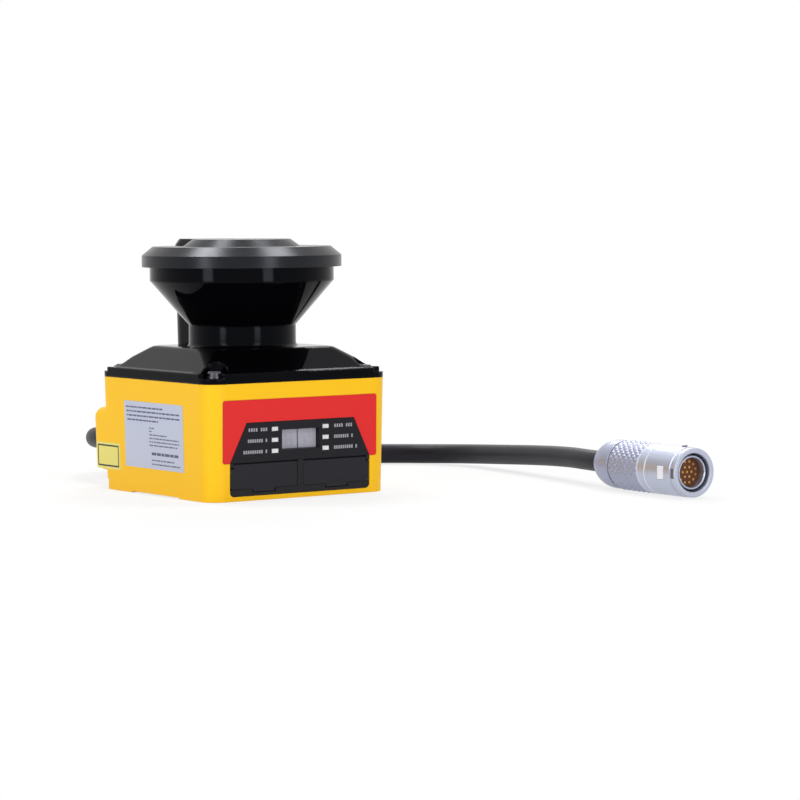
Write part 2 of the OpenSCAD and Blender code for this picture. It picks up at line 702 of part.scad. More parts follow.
module link_port() {
    color([0.12, 0.12, 0.13]) translate([port_x, 0, port_v]) difference() {
        block([-5, port_face_y, -2.5], [5, panel_back_y, 2.5]);
        block([-4.2, port_face_y - 1, -1.7], [4.2, port_face_y + 4, 0.3]);
        block([-4.2, port_face_y - 1, 0.9], [4.2, port_face_y + 4, 1.8]);
    }
}

module display_board() {
    color([0.05, 0.30, 0.16]) difference() {
        block([-display_half_x, panel_back_y, 4], [display_half_x, panel_back_y + board_t, lens_high + 1]);
        for (s = [-1, 1]) translate([s * panel_screw_x, panel_back_y - 1, panel_screw_z]) rotate([-90, 0, 0])
            cylinder(h = 4, r = 1.25);
        four(mount_x / 2, mount_y / 2) cylinder(h = mount_boss_h + 1, r = mount_boss_r + 0.3);
    }
}

// ---- optical window -----------------------------------------------------
// The roof as one solid, each face moved inwards by t
module roof(t) {
    loft([for (s = roof_steps) square_pts(s[0] - t, roof_r * (s[0] - t) / roof_half, 6)],
         [for (s = roof_steps) flange_top - t + s[1]]);
}

module head_profile_outer() {
    polygon(concat(
        [[0, roof_top - 1], [neck_r + neck_fillet, roof_top - 1], [neck_r + neck_fillet, roof_top]],
        arc([neck_r + neck_fillet, roof_top + neck_fillet], neck_fillet, 270, 180, 5),
        [[neck_r, cone_low], [head_r, cone_top], [head_r, rim_top], [0, rim_top]]));
}

module optical_window() {
    color([0.03, 0.03, 0.04]) difference() {
        union() {
            translate([0, 0, case_h]) linear_extrude(flange_t - edge_break) rounded(half, corner_r);
            translate([0, 0, flange_top - edge_break])
                linear_extrude(edge_break, scale = (half - edge_break) / half) rounded(half, corner_r);
            roof(0);
            rotate_extrude() head_profile_outer();
        }
        // inside of the flange and the roof, kept solid round the corner screws
        difference() {
            union() {
                translate([0, 0, case_h - eps]) linear_extrude(flange_t - window_t + 2 * eps)
                    rounded(roof_half - window_t, roof_r);
                roof(window_t);
            }
            four(screw_at, screw_at) translate([0, 0, case_h - 1]) cylinder(h = roof_h, r = pocket_r + 1.2);
        }
        // inside of the neck, the cone and the upper cylinder
        rotate_extrude() polygon([
            [0, roof_top - window_t - 0.5], [neck_in, roof_top - window_t - 0.5], [neck_in, cone_low + 0.5],
            [head_r - window_t - 1.8, cone_top + 0.5], [head_r - window_t - 1.8, ledge_z],
            [ledge_r, ledge_z], [ledge_r, rim_top + 1], [0, rim_top + 1]]);
        // corner pockets with their screw holes
        for (a = [0:90:270]) rotate([0, 0, a]) {
            translate([screw_at, screw_at, pad_top]) cylinder(h = roof_h, r = pocket_r);
            block([screw_at - 0.2, screw_at - 0.2, pad_top], [half + 1, half + 1, roof_top]);
            translate([screw_at, screw_at, case_h - 1]) cylinder(h = 5, r = 1.7);
        }
        // slot of the rear column, and the hole of the ribbon under it
        difference() {
            column_shape(fit, column_front - fit);
            block([-half, 0, 0], [half, half, cone_low + 0.1]);
        }
        block([-5, column_y - 1, case_h], [5, column_y + 6, roof_top]);
    }
}

// The column's body, grown by g all round; it widens a little towards its top
module column_body(g) {
    r0 = column_r - column_flare + g;
    r1 = column_r + column_flare + g;
    c = column_chamfer;
    h = head_top - column_foot_z;
    translate([0, column_y, column_foot_z]) cylinder(h = h - c, r1 = r0, r2 = r1);
    translate([0, column_y, head_top - c]) cylinder(h = c, r1 = r1, r2 = r1 - 0.7 * c);
    translate([0, column_y, column_foot_z]) rotate([90, 0, 0]) linear_extrude(column_y - 8)
        polygon([[-r0, 0], [r0, 0], [r1, h - c], [r1 - 0.7 * c, h], [0.7 * c - r1, h], [-r1, h - c]]);
}

// The same, cut back to radius front from the head's axis
module column_shape(g, front) {
    difference() {
        column_body(g);
        cylinder(h = 2 * head_top, r = front);
    }
}

module rear_column() {
    color([0.03, 0.03, 0.04]) difference() {
        column_shape(0, column_front);
        // it stands on the roof
        roof(0);
        translate([0, 0, case_h]) linear_extrude(flange_t) rounded(half, corner_r);
        cylinder(h = roof_top + neck_fillet, r = neck_r + neck_fillet + fit);
        // duct of the ribbon
        difference() {
            translate([0, 0, column_foot_z]) intersection() {
                translate([0, column_y, 0]) cylinder(h = duct_top - column_foot_z, r = column_r - column_flare - column_t);
                block([-half, column_front + column_t + 0.3, 0], [half, half + 9, duct_top]);
            }
        }
        block([-5, 0, board_z - 1.8], [5, column_y, board_z + 0.6]);
    }
}

module window_gasket() {
    color([0.08, 0.08, 0.08]) translate([0, 0, case_h - gasket_t]) linear_extrude(gasket_t) difference() {
        rounded(cavity_half + rebate_w, cavity_r + rebate_w);
        rounded(cavity_half, cavity_r);
    }
}

module window_screws() {
    color([0.62, 0.62, 0.64]) four(screw_at, screw_at) {
        translate([0, 0, case_h - 10]) cylinder(h = pad_top - case_h + 10, r = 1.45);
        translate([0, 0, pad_top]) cylinder(h = 0.6, r = 3.1);
        difference() {
            translate([0, 0, pad_top + 0.6]) rotate_extrude()
                polygon([[0, 0], [2.7, 0], [2.7, 1.2], [2.2, 1.9], [0, 2.1]]);
            translate([0, 0, pad_top + 1.2]) {
                block([-1.7, -0.3, 0], [1.7, 0.3, 3]);
                block([-0.3, -1.7, 0], [0.3, 1.7, 3]);
            }
        }
    }
}

// ---- head ---------------------------------------------------------------
module top_cap() {
    color([0.10, 0.10, 0.11]) difference() {
        rotate_extrude() polygon([
            [0, head_top], [disc_top_r, head_top], [disc_foot_r, cap_flat_z], [cap_flat_r, cap_flat_z],
            [cap_r, cap_mid], [cap_r, cap_low], [head_r + fit, cap_low], [head_r + fit, rim_top],
            [head_r - 4, rim_top], [head_r - 4, cap_flat_z - cap_wall], [disc_top_r - 0.5, cap_flat_z - cap_wall],
            [disc_top_r - 2.5, head_top - cap_wall], [0, head_top - cap_wall]]);
        // groove of the gasket on the window's rim, and the slot of the rear column
        translate([0, 0, rim_top - eps]) linear_extrude(cap_gasket_t + eps) difference() {
            circle(head_r - 0.5);
            circle(head_r - 1.7);
        }
        column_shape(2 * fit, column_front - 2 * fit);
    }
}

module cap_gasket() {
    color([0.08, 0.08, 0.08]) difference() {
        translate([0, 0, rim_top]) linear_extrude(cap_gasket_t) difference() {
            circle(head_r - 0.55);
            circle(head_r - 1.65);
        }
        column_shape(2 * fit, column_front - 2 * fit);
    }
}

module head_frame() {
    color([0.55, 0.56, 0.58]) difference() {
        union() {
            translate([0, 0, ledge_z]) cylinder(h = frame_t, r = ledge_r - fit);
            translate([0, 0, laser_z + 1]) cylinder(h = rim_top - laser_z - 1, r = laser_r + 2.4);
            for (a = [45:90:315]) rotate([0, 0, a])
                translate([0, -16, rim_top]) cylinder(h = board_z - rim_top, r = 2.2);
        }
        translate([0, 0, laser_z]) cylinder(h = 20, r = laser_r + fit);
        column_shape(2 * fit, column_front - 2 * fit);
        // windows that lighten the plate
        for (a = [-105, -30, 30, 105]) rotate([0, 0, a])
            translate([0, -21, ledge_z - 1]) cylinder(h = frame_t + 2, r = 4.5);
    }
}

module laser_module() {
    color([0.78, 0.62, 0.30]) difference() {
        union() {
            translate([0, 0, laser_z]) cylinder(h = rim_top - laser_z + 5, r = laser_r);
            translate([0, 0, rim_top]) cylinder(h = 1, r = laser_r + 1.8);
        }
        translate([0, 0, laser_z - 1]) cylinder(h = 2.5, r = 3.25);
        translate([0, 0, laser_z]) cylinder(h = 6, r = 2.4);
    }
}

module collimator_lens() {
    color([0.75, 0.85, 0.95]) translate([0, 0, laser_z + 0.3]) cylinder(h = 1.2, r = 3.2);
}

module head_board() {
    color([0.05, 0.30, 0.16]) difference() {
        union() {
            translate([0, 0, board_z]) cylinder(h = board_t, r = head_board_r);
            for (x = [-12, 12]) translate([x - 3, -8, board_z + board_t]) cube([6, 6, 0.45]);
        }
        translate([0, 0, board_z - 1]) cylinder(h = 5, r = laser_r + 2.2);
        column_shape(2 * fit, column_front - 2 * fit);
    }
}

module head_ribbon() {
    color([0.80, 0.55, 0.20]) along_x(8) {
        y = column_y + 2;
        t = 0.3;
        polygon([[y, main_z + board_t], [y + t, main_z + board_t], [y + t, board_z], [16, board_z],
                 [16, board_z - t], [y, board_z - t]]);
    }
}

// ---- boards in the case -------------------------------------------------
module power_board() {
    color([0.05, 0.30, 0.16]) {
        difference() {
            block([-board_half_x, board_front, power_z], [board_half_x, -board_front, power_z + board_t]);
            four(spacer_x, spacer_y) translate([0, 0, power_z - 1]) cylinder(h = 4, r = 1.3);
        }
        for (x = [-12, 4]) block([x, -14, power_z + board_t], [x + 9, -5, power_z + board_t + 4]);
        translate([8, 8, power_z + board_t]) cylinder(h = 6, r = 4);
    }
}

module main_board() {
    color([0.05, 0.30, 0.16]) {
        difference() {
            block([-board_half_x, board_front, main_z], [board_half_x, cavity_half - 3, main_z + board_t]);
            four(spacer_x, spacer_y) translate([0, 0, main_z - 1]) cylinder(h = 4, r = 1.3);
            for (sx = [-1, 1]) block([sx * board_half_x - 4, 26, main_z - 1], [sx * board_half_x + 4, half, main_z + 3]);
        }
        block([-22, -10, main_z + board_t], [-12, 0, main_z + board_t + 1.4]);
        block([spacer_x - 13, spacer_y - 12, main_z + board_t], [spacer_x - 5, spacer_y - 4, main_z + board_t + 1.2]);
    }
}

module board_spacers() {
    color([0.80, 0.70, 0.35]) four(spacer_x, spacer_y) translate([0, 0, power_z + board_t]) difference() {
        cylinder(h = main_z - power_z - board_t, r = spacer_r);
        translate([0, 0, 2]) cylinder(h = 20, r = spacer_bore);
    }
}

module small_screw(len) {
    translate([0, 0, -len]) cylinder(h = len, r = board_screw_r);
    difference() {
        cylinder(h = 1.4, r = 2);
        translate([0, 0, 0.6]) block([-1.3, -0.25, 0], [1.3, 0.25, 2]);
    }
}

module board_screws() {
    color([0.62, 0.62, 0.64]) {
        four(spacer_x, spacer_y) translate([0, 0, main_z + board_t]) small_screw(5);
        for (s = [-1, 1]) translate([s * panel_screw_x, panel_back_y + board_t, panel_screw_z])
            rotate([-90, 0, 0]) small_screw(6);
    }
}

module rear_connector() {
    color([0.12, 0.12, 0.13]) difference() {
        block([board_mid_x - 12, cavity_half - 3, passage_z[0] + 0.6],
              [board_mid_x + 12, seam_y - board_t, passage_z[1] - 0.6]);
        for (k = [-5:5]) translate([board_mid_x + 2 * k, cavity_half - 4, passage_z[0] + 2.6])
            block([-0.4, 0, 0], [0.4, 3, 1.5]);
    }
}

module memory_board() {
    color([0.05, 0.30, 0.16]) block(
        [board_mid_x - memory_half, seam_y - board_t, hump_floor + 1],
        [board_mid_x + memory_half, seam_y, hump_ceiling - 1.4]);
}

// ---- gland --------------------------------------------------------------
module cable_gland() {
    color([0.07, 0.07, 0.08]) translate([gland_x, 0, gland_z]) rotate([-90, 0, 0]) union() {
        translate([0, 0, seam_y + 0.2]) cylinder(h = gland_pad_y - seam_y - 0.2, r = gland_hole_r - fit);
        translate([0, 0, gland_pad_y]) cylinder(h = 3, r = 7.5, $fn = 6);
        rotate_extrude() polygon(concat(
            [[0, gland_pad_y + 1], [6.4, gland_pad_y + 1], [6.4, gland_pad_y + 4]],
            [for (i = [0:3]) each [[6.1 - 0.35 * i, gland_pad_y + 4.6 + 2.4 * i],
                                   [6.1 - 0.35 * i, gland_pad_y + 6 + 2.4 * i],
                                   [5.2 - 0.2 * i, gland_pad_y + 6.2 + 2.4 * i],
                                   [5.2 - 0.2 * i, gland_pad_y + 6.8 + 2.4 * i]]],
            [[cable_r + 0.5, gland_end], [0, gland_end]]));
    }
}

module gland_nut() {
    color([0.62, 0.62, 0.64]) translate([gland_x, seam_y + 0.3, gland_z]) rotate([-90, 0, 0]) difference() {
        cylinder(h = rear_inner_y - seam_y - 0.3, r = 8.2, $fn = 6);
        translate([0, 0, -1]) cylinder(h = 4, r = gland_hole_r - fit + thread_gap);
    }
}

// ---- chassis and motor --------------------------------------------------
module chassis() {
    color([0.62, 0.63, 0.65]) difference() {
        union() {
            translate([0, 0, chassis_z]) linear_extrude(chassis_t) rounded(chassis_half, chassis_r);
            for (sx = [-1, 1], sy = [-1, 1]) {
                translate([sx * post_x, sy * post_y, chassis_z]) cylinder(h = chassis_t, r = post_r);
                block([min(0, sx * post_x), sy * post_y - post_r, chassis_z],
                      [max(0, sx * post_x), sy * post_y + post_r, chassis_top]);
            }
            translate([0, 0, chassis_z]) cylinder(h = tube_top - chassis_z, r = tube_r);
            translate([0, 0, chassis_z]) cylinder(h = stator_z - chassis_z, r = tube_r + 1.2);
            translate([0, 0, barrel_low]) cylinder(h = chassis_z - barrel_low + 1, r = barrel_r);
        }
        translate([0, 0, bearing_z]) cylinder(h = 20, r = bearing_r + run_gap);
        translate([0, 0, chassis_z + 1]) cylinder(h = 20, r = bearing_r - 2);
        translate([0, 0, barrel_low - 1]) cylinder(h = 8, r = lens_r + fit);
        translate([0, 0, barrel_low]) cylinder(h = 9, r = lens_r - 1);
        four(post_x, post_y) translate([0, 0, chassis_z - 1]) cylinder(h = 5, r = post_screw_r + 0.15);
        // room for the ribbon
        block([-5, column_y + 1, chassis_z - 1], [5, half, chassis_top + 1]);
        for (a = [45:90:315]) rotate([0, 0, a]) translate([chassis_half - 3, 0, chassis_z - 1])
            cylinder(h = chassis_t + 2, r = 3.5);
    }
}

module chassis_screws() {
    color([0.62, 0.62, 0.64]) four(post_x, post_y) translate([0, 0, chassis_top]) {
        translate([0, 0, -chassis_t - 6]) cylinder(h = chassis_t + 6, r = post_screw_r);
        difference() {
            cylinder(h = 1.8, r = 2.7);
            translate([0, 0, 0.8]) cylinder(h = 2, r = 1.2, $fn = 6);
        }
    }
}

module bearings() {
    color([0.75, 0.76, 0.78]) for (k = [0, 1]) translate([0, 0, bearing_z + k * (bearing_w + spacer_ring_t)])
        rotate_extrude()
        polygon([[shaft_r + run_gap, 0], [shaft_r + 1, 0], [shaft_r + 1, 0.4], [bearing_r - 1, 0.4], [bearing_r - 1, 0],
                 [bearing_r, 0], [bearing_r, bearing_w], [bearing_r - 1, bearing_w], [bearing_r - 1, bearing_w - 0.4],
                 [shaft_r + 1, bearing_w - 0.4], [shaft_r + 1, bearing_w], [shaft_r + run_gap, bearing_w]]);
}

module bearing_spacer() {
    color([0.30, 0.30, 0.32]) translate([0, 0, bearing_z + bearing_w]) rotate_extrude()
        translate([bearing_r - 0.9, 0]) square([0.9, spacer_ring_t]);
}

slots = 9;
module stator() {
    color([0.45, 0.46, 0.48]) translate([0, 0, stator_z]) linear_extrude(stator_h) {
        difference() {
            circle(tube_r + 1.3);
            circle(tube_r + fit);
        }
        for (k = [0:slots - 1]) rotate(k * 360 / slots) {
            translate([tube_r + 0.8, -0.9]) square([stator_r - tube_r - 1.4, 1.8]);
            intersection() {
                difference() {
                    circle(stator_r);
                    circle(stator_r - 0.9);
                }
                polygon([[0, 0], [30, -9.2], [30, 9.2]]);
            }
        }
    }
}

module windings() {
    color([0.72, 0.42, 0.20]) for (k = [0:slots - 1]) rotate([0, 0, k * 360 / slots])
        translate([0, 0, stator_z - 0.7]) difference() {
            block([tube_r + 1.5, -2, 0], [stator_r - 1.2, 2, stator_h + 1.4]);
            block([tube_r, -0.95, 0.65], [stator_r, 0.95, stator_h + 0.75]);
        }
}

module rotor() {
    color([0.58, 0.59, 0.62]) difference() {
        union() {
            translate([0, 0, bearing_z - 0.6]) cylinder(h = hub_z - bearing_z + 0.6, r = shaft_r);
            translate([0, 0, bell_z]) cylinder(h = bell_top - bell_z, r = bell_r);
        }
        translate([0, 0, bell_z - 1]) difference() {
            cylinder(h = bell_top - bell_disc_t - bell_z + 1, r = bell_in);
            cylinder(h = bell_top, r = shaft_r);
        }
        translate([0, 0, bearing_z - 2]) cylinder(h = bell_top, r = shaft_bore_r);
        for (a = [0:60:300]) rotate([0, 0, a]) translate([14, 0, bell_top - 3]) cylinder(h = 5, r = 2.4);
    }
}

module magnet_ring() {
    color([0.25, 0.25, 0.27]) translate([0, 0, bell_z]) rotate_extrude()
        translate([magnet_in, 0]) square([magnet_t, bell_top - bell_disc_t - bell_z]);
}

module encoder_disc() {
    color([0.70, 0.72, 0.75]) translate([0, 0, bell_z - encoder_t]) linear_extrude(encoder_t) difference() {
        circle(encoder_r);
        circle(magnet_in + 0.2);
        for (a = [0:15:345]) rotate(a) translate([encoder_r - 1.9, -0.5]) square([1.2, 1]);
    }
}

module encoder_sensor() {
    r = encoder_r;
    color([0.12, 0.12, 0.13]) difference() {
        block([-3, -r - 3.2, chassis_top], [3, -r + 2.2, bell_z + 2.2]);
        block([-4, -r - 1, bell_z - encoder_t - 0.7], [4, -r + 4, bell_z + 0.7]);
        block([-4, -bell_r - 0.5, bell_z - 1], [4, 0, bell_z + 5]);
    }
}

// ---- mirror hub ---------------------------------------------------------
low_mirror = [0, 0.6, hub_z + 9];
top_mirror = [0, 1, hub_top - 4.5];

module mirror_hub() {
    z0 = hub_z;
    z1 = hub_z + hub_foot_t;
    color([0.16, 0.16, 0.17]) difference() {
        union() {
            translate([0, 0, z0]) cylinder(h = hub_foot_t, r = hub_r);
            intersection() {
                translate([0, 0, z0]) cylinder(h = hub_top - z0, r = hub_r);
                along_x(3 * hub_r) {
                    low_face = low_mirror[1] + low_mirror[2];
                    top_face = top_mirror[1] - top_mirror[2];
                    meet = (low_face - top_face) / 2;
                    polygon([[low_face - z0, z0], [low_face - meet, meet], [hub_top + top_face, hub_top],
                             [hub_r + 1, hub_top], [hub_r + 1, z0]]);
                }
            }
        }
        translate([0, 0, z0 - 1]) cylinder(h = hub_foot_t + 2, r = shaft_bore_r);
        // the back is hollowed to save weight
        block([-7, 6.5, z1 + 1.5], [7, hub_r + 1, hub_top - 2]);
    }
}

// A mirror plate whose back face is centred at p, turned to face forward and down (1) or up (-1)
module mirror_plate(p, s, length, width, t) {
    translate(p) rotate([45 * s, 0, 0]) translate([-width / 2, -t, -length / 2]) cube([width, t, length]);
}

module receive_mirror() { color([0.85, 0.87, 0.90]) mirror_plate(low_mirror, 1, 16.5, 15, mirror_t); }

module emit_mirror() { color([0.85, 0.87, 0.90]) mirror_plate(top_mirror, -1, 7, 8, 1.2); }

// ---- receiver under the chassis -----------------------------------------
module receiver_lens() {
    color([0.75, 0.85, 0.95]) translate([0, 0, barrel_low + 3.5]) intersection() {
        translate([0, 0, -1]) cylinder(h = 4.5, r = lens_r);
        translate([0, 0, 14]) sphere(r = 14);
    }
}

module detector_board() {
    color([0.05, 0.30, 0.16]) {
        translate([0, 0, barrel_low - board_t]) linear_extrude(board_t) rounded(11, 2);
        translate([0, 0, barrel_low]) cylinder(h = 2, r = 4);
    }
}

// ---- cable --------------------------------------------------------------
function unit(v) = v / norm(v);
plug_dir = [-sin(plug_yaw), -cos(plug_yaw), 0];
cable_points = concat(route, [plug_at, plug_at + plug_dir * cable_inset]);
cable_last = len(cable_points) - 1;
function heading(i) = i == 0 ? [0, 1, 0]
    : i >= cable_last - 1 ? plug_dir
    : unit(cable_points[i + 1] - cable_points[i - 1]);
function ring(i) = let (t = heading(i), side = unit(cross(t, [0, 0, 1])), up = cross(side, t))
    [for (k = [0:cable_sides - 1]) let (a = 360 * k / cable_sides)
        cable_points[i] + cable_r * (cos(a) * side + sin(a) * up)];

module cable() {
    n = cable_sides;
    color([0.12, 0.12, 0.13]) polyhedron(
        points = [for (i = [0:cable_last]) each ring(i)],
        faces = concat(
            [[for (k = [n - 1:-1:0]) k]],
            [[for (k = [0:n - 1]) cable_last * n + k]],
            [for (i = [0:cable_last - 1], k = [0:n - 1])
                [i * n + k, i * n + (k + 1) % n, (i + 1) * n + (k + 1) % n, (i + 1) * n + k]]),
        convexity = 6);
}

// ---- plug ---------------------------------------------------------------
metal = [0.72, 0.73, 0.77];

module plug_back_nut() {
    dome_len = 10;
    r0 = 5.2;
    r1 = sleeve_r - 0.25;
    color(metal) on_plug() rotate_extrude() polygon(concat(
        [[nut_bore, 0]],
        [for (k = [0:0.1:1]) [r1 - (r1 - r0) * (1 - k) ^ 2, dome_len * k]],
        [[r1, nut_len - 0.2], [r1 - 0.2, nut_len], [neck_of_nut_r, nut_len], [neck_of_nut_r, nut_len + neck_of_nut],
         [inner_tube_r + 0.05, nut_len + neck_of_nut], [inner_tube_r + 0.05, cable_inset], [nut_bore, cable_inset]]));
}

module plug_sleeve() {
    z0 = nut_len + sleeve_travel + 0.1;
    g1 = nut_len + 6.1;
    g2 = nut_len + 12.4;
    color(metal) on_plug() rotate_extrude() polygon([
        [sleeve_in, z0 + neck_of_nut + 0.1], [neck_of_nut_r + 0.3, z0 + neck_of_nut + 0.1],
        [neck_of_nut_r + 0.3, z0], [sleeve_r - 0.15, z0], [sleeve_r, z0 + 0.2],
        [sleeve_r, g1 - 0.4], [sleeve_r - 0.35, g1 - 0.2], [sleeve_r - 0.35, g1 + 0.2], [sleeve_r, g1 + 0.4],
        [sleeve_r, g2 - 0.4], [sleeve_r - 0.35, g2 - 0.2], [sleeve_r - 0.35, g2 + 0.2], [sleeve_r, g2 + 0.4],
        [sleeve_r, body_from - 0.5], [sleeve_r - 0.3, body_from - 0.05], [sleeve_in, body_from - 0.05]]);
}

module plug_shell() {
    r = sleeve_r - 0.15;
    ring_at = body_from + 5.2;
    lip_at = plug_len - 2.6;
    color(metal) on_plug() difference() {
        rotate_extrude() polygon([
            [0, cable_inset], [inner_tube_r, cable_inset], [inner_tube_r, body_from], [r - 0.3, body_from],
            [r, body_from + 0.4], [r, ring_at - 0.4], [r - 0.25, ring_at - 0.2], [r - 0.25, ring_at + 0.2],
            [r, ring_at + 0.4], [r - 0.1, lip_at - 0.8], [plug_front_r - 0.25, lip_at - 0.6],
            [plug_front_r - 0.25, lip_at], [plug_front_r, lip_at + 0.3], [plug_front_r, plug_len - 0.4],
            [plug_front_r - 0.4, plug_len], [mouth_r + 0.4, plug_len], [mouth_r, plug_len - 0.4],
            [mouth_r, plug_len - mouth_depth], [carrier_r + 0.05, plug_len - mouth_depth],
            [carrier_r + 0.05, plug_len - 17], [carrier_in - 0.5, plug_len - 17], [carrier_in - 0.5, 12], [0, 12]]);
        // latch windows on both sides
        for (s = [-1, 1]) translate([s * r, 0, plug_len - 8.6]) cube([1, 5.4, 3.8], center = true);
    }
}

module plug_carrier() {
    color(metal) on_plug() rotate_extrude() polygon([
        [carrier_in, plug_len - 17], [carrier_r, plug_len - 17], [carrier_r, carrier_end - 0.3],
        [carrier_r - 0.3, carrier_end], [carrier_in + 0.2, carrier_end], [carrier_in, carrier_end - 0.3]]);
}

// places of the contacts: one in the middle and two rings
contact_places = concat([[0, 0]],
    [for (a = [0:60:300]) 2 * [cos(a), sin(a)]],
    [for (a = [15:30:345]) 3.95 * [cos(a), sin(a)]]);

module plug_insert() {
    color([0.35, 0.20, 0.10]) on_plug() difference() {
        translate([0, 0, plug_len - 17]) cylinder(h = insert_end - plug_len + 17, r = carrier_in - 0.05);
        for (p = contact_places) translate([p[0], p[1], insert_end - 3]) cylinder(h = 4, r = contact_r + 0.05, $fn = 16);
    }
}

module plug_contacts() {
    color([0.85, 0.66, 0.30]) on_plug() for (p = contact_places)
        translate([p[0], p[1], insert_end - 3]) cylinder(h = 2.95, r = contact_r, $fn = 16);
}

case();
rear_cover();
rear_cover_screws();
rear_gasket();
front_panel();
front_overlay();
display_lens();
digit_display();
led_lenses();
port_cover_left();
port_cover_right();
usb_port();
link_port();
display_board();
optical_window();
window_gasket();
window_screws();
rear_column();
top_cap();
cap_gasket();
power_board();
main_board();
board_spacers();
board_screws();
rear_connector();
memory_board();
cable_gland();
gland_nut();
chassis();
chassis_screws();
bearings();
bearing_spacer();
stator();
windings();
rotor();
magnet_ring();
encoder_disc();
encoder_sensor();
mirror_hub();
receive_mirror();
emit_mirror();
receiver_lens();
detector_board();
head_frame();
laser_module();
collimator_lens();
head_board();
head_ribbon();
cable();
plug_back_nut();
plug_sleeve();
plug_shell();
plug_carrier();
plug_insert();
plug_contacts();
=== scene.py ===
# %% [markdown]
# A safety laser scanner watches the floor round a machine or a mobile robot. A laser beam leaves the
# mushroom-shaped head, a spinning mirror sweeps it, and the case below works out how far each echo came.
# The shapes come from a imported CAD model, so this lesson is about the camera, the light, the finishes, and
# the few pieces that a solid model leaves out: the cable's smooth skin, the knurl and small fittings of the
# plug, bare plates and print.
# Everything is in metres, with the origin under the middle of the case and the display facing -Y.

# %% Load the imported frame
import math
import random
import bmesh
import bpy
from mathutils import Matrix, Vector


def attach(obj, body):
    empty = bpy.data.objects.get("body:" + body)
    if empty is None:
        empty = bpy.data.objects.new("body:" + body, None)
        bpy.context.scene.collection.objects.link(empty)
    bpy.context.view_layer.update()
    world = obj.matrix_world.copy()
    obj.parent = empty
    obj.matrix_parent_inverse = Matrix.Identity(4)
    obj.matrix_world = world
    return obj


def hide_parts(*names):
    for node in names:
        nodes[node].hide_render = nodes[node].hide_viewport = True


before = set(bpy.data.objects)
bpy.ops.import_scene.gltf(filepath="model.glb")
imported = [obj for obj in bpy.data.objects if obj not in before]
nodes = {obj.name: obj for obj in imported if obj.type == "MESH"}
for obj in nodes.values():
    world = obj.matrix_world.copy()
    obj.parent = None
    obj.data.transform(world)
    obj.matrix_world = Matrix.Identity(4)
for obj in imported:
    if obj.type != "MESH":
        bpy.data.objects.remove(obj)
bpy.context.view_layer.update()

MM = 0.001

# %% [markdown]
# A camera can stand close with a wide lens or far away with a long one. The long one is used here, because
# it keeps the case's edges nearly parallel. The camera stands a little over a metre off, front left, and
# looks down by less than four degrees. Its frame is much wider than the scanner because the cable and its
# plug lie far out to the right.

# %% Camera
camera_place = Vector((-0.62957, -0.99121, 0.11022))
lens_length = 139.48
view_turn = math.radians(35.327)
view_down = math.radians(3.735)
view_roll = math.radians(-0.347)

level_right = Vector((math.cos(view_turn), -math.sin(view_turn), 0))
forward = Vector((math.sin(view_turn) * math.cos(view_down),
                  math.cos(view_turn) * math.cos(view_down), -math.sin(view_down)))
level_up = level_right.cross(forward)
right = math.cos(view_roll) * level_right + math.sin(view_roll) * level_up
up = -math.sin(view_roll) * level_right + math.cos(view_roll) * level_up

camera_data = bpy.data.cameras.new("camera")
camera_data.lens = lens_length
camera_data.sensor_width = 36
camera_data.clip_end = 20
camera = bpy.data.objects.new("camera", camera_data)
turned_to_view = Matrix([right, up, -forward]).transposed().to_4x4()
camera.matrix_world = Matrix.Translation(camera_place) @ turned_to_view
bpy.context.scene.collection.objects.link(camera)
bpy.context.scene.camera = camera
print("camera", [round(v, 3) for v in camera.location], "lens", camera_data.lens)

# %% [markdown]
# A finish is a small node tree: one shader for how the surface takes light, a noise that bends its normal
# for the grain, and another that shifts its roughness by a hair, because no real surface is perfectly even.
# One helper builds that tree from plain numbers, so each finish below is only a few lines. A bevel node
# rounds the look of hard edges, as every moulded or cast edge is rounded a little.

# %% A helper for finishes
clouds_per_metre = 90


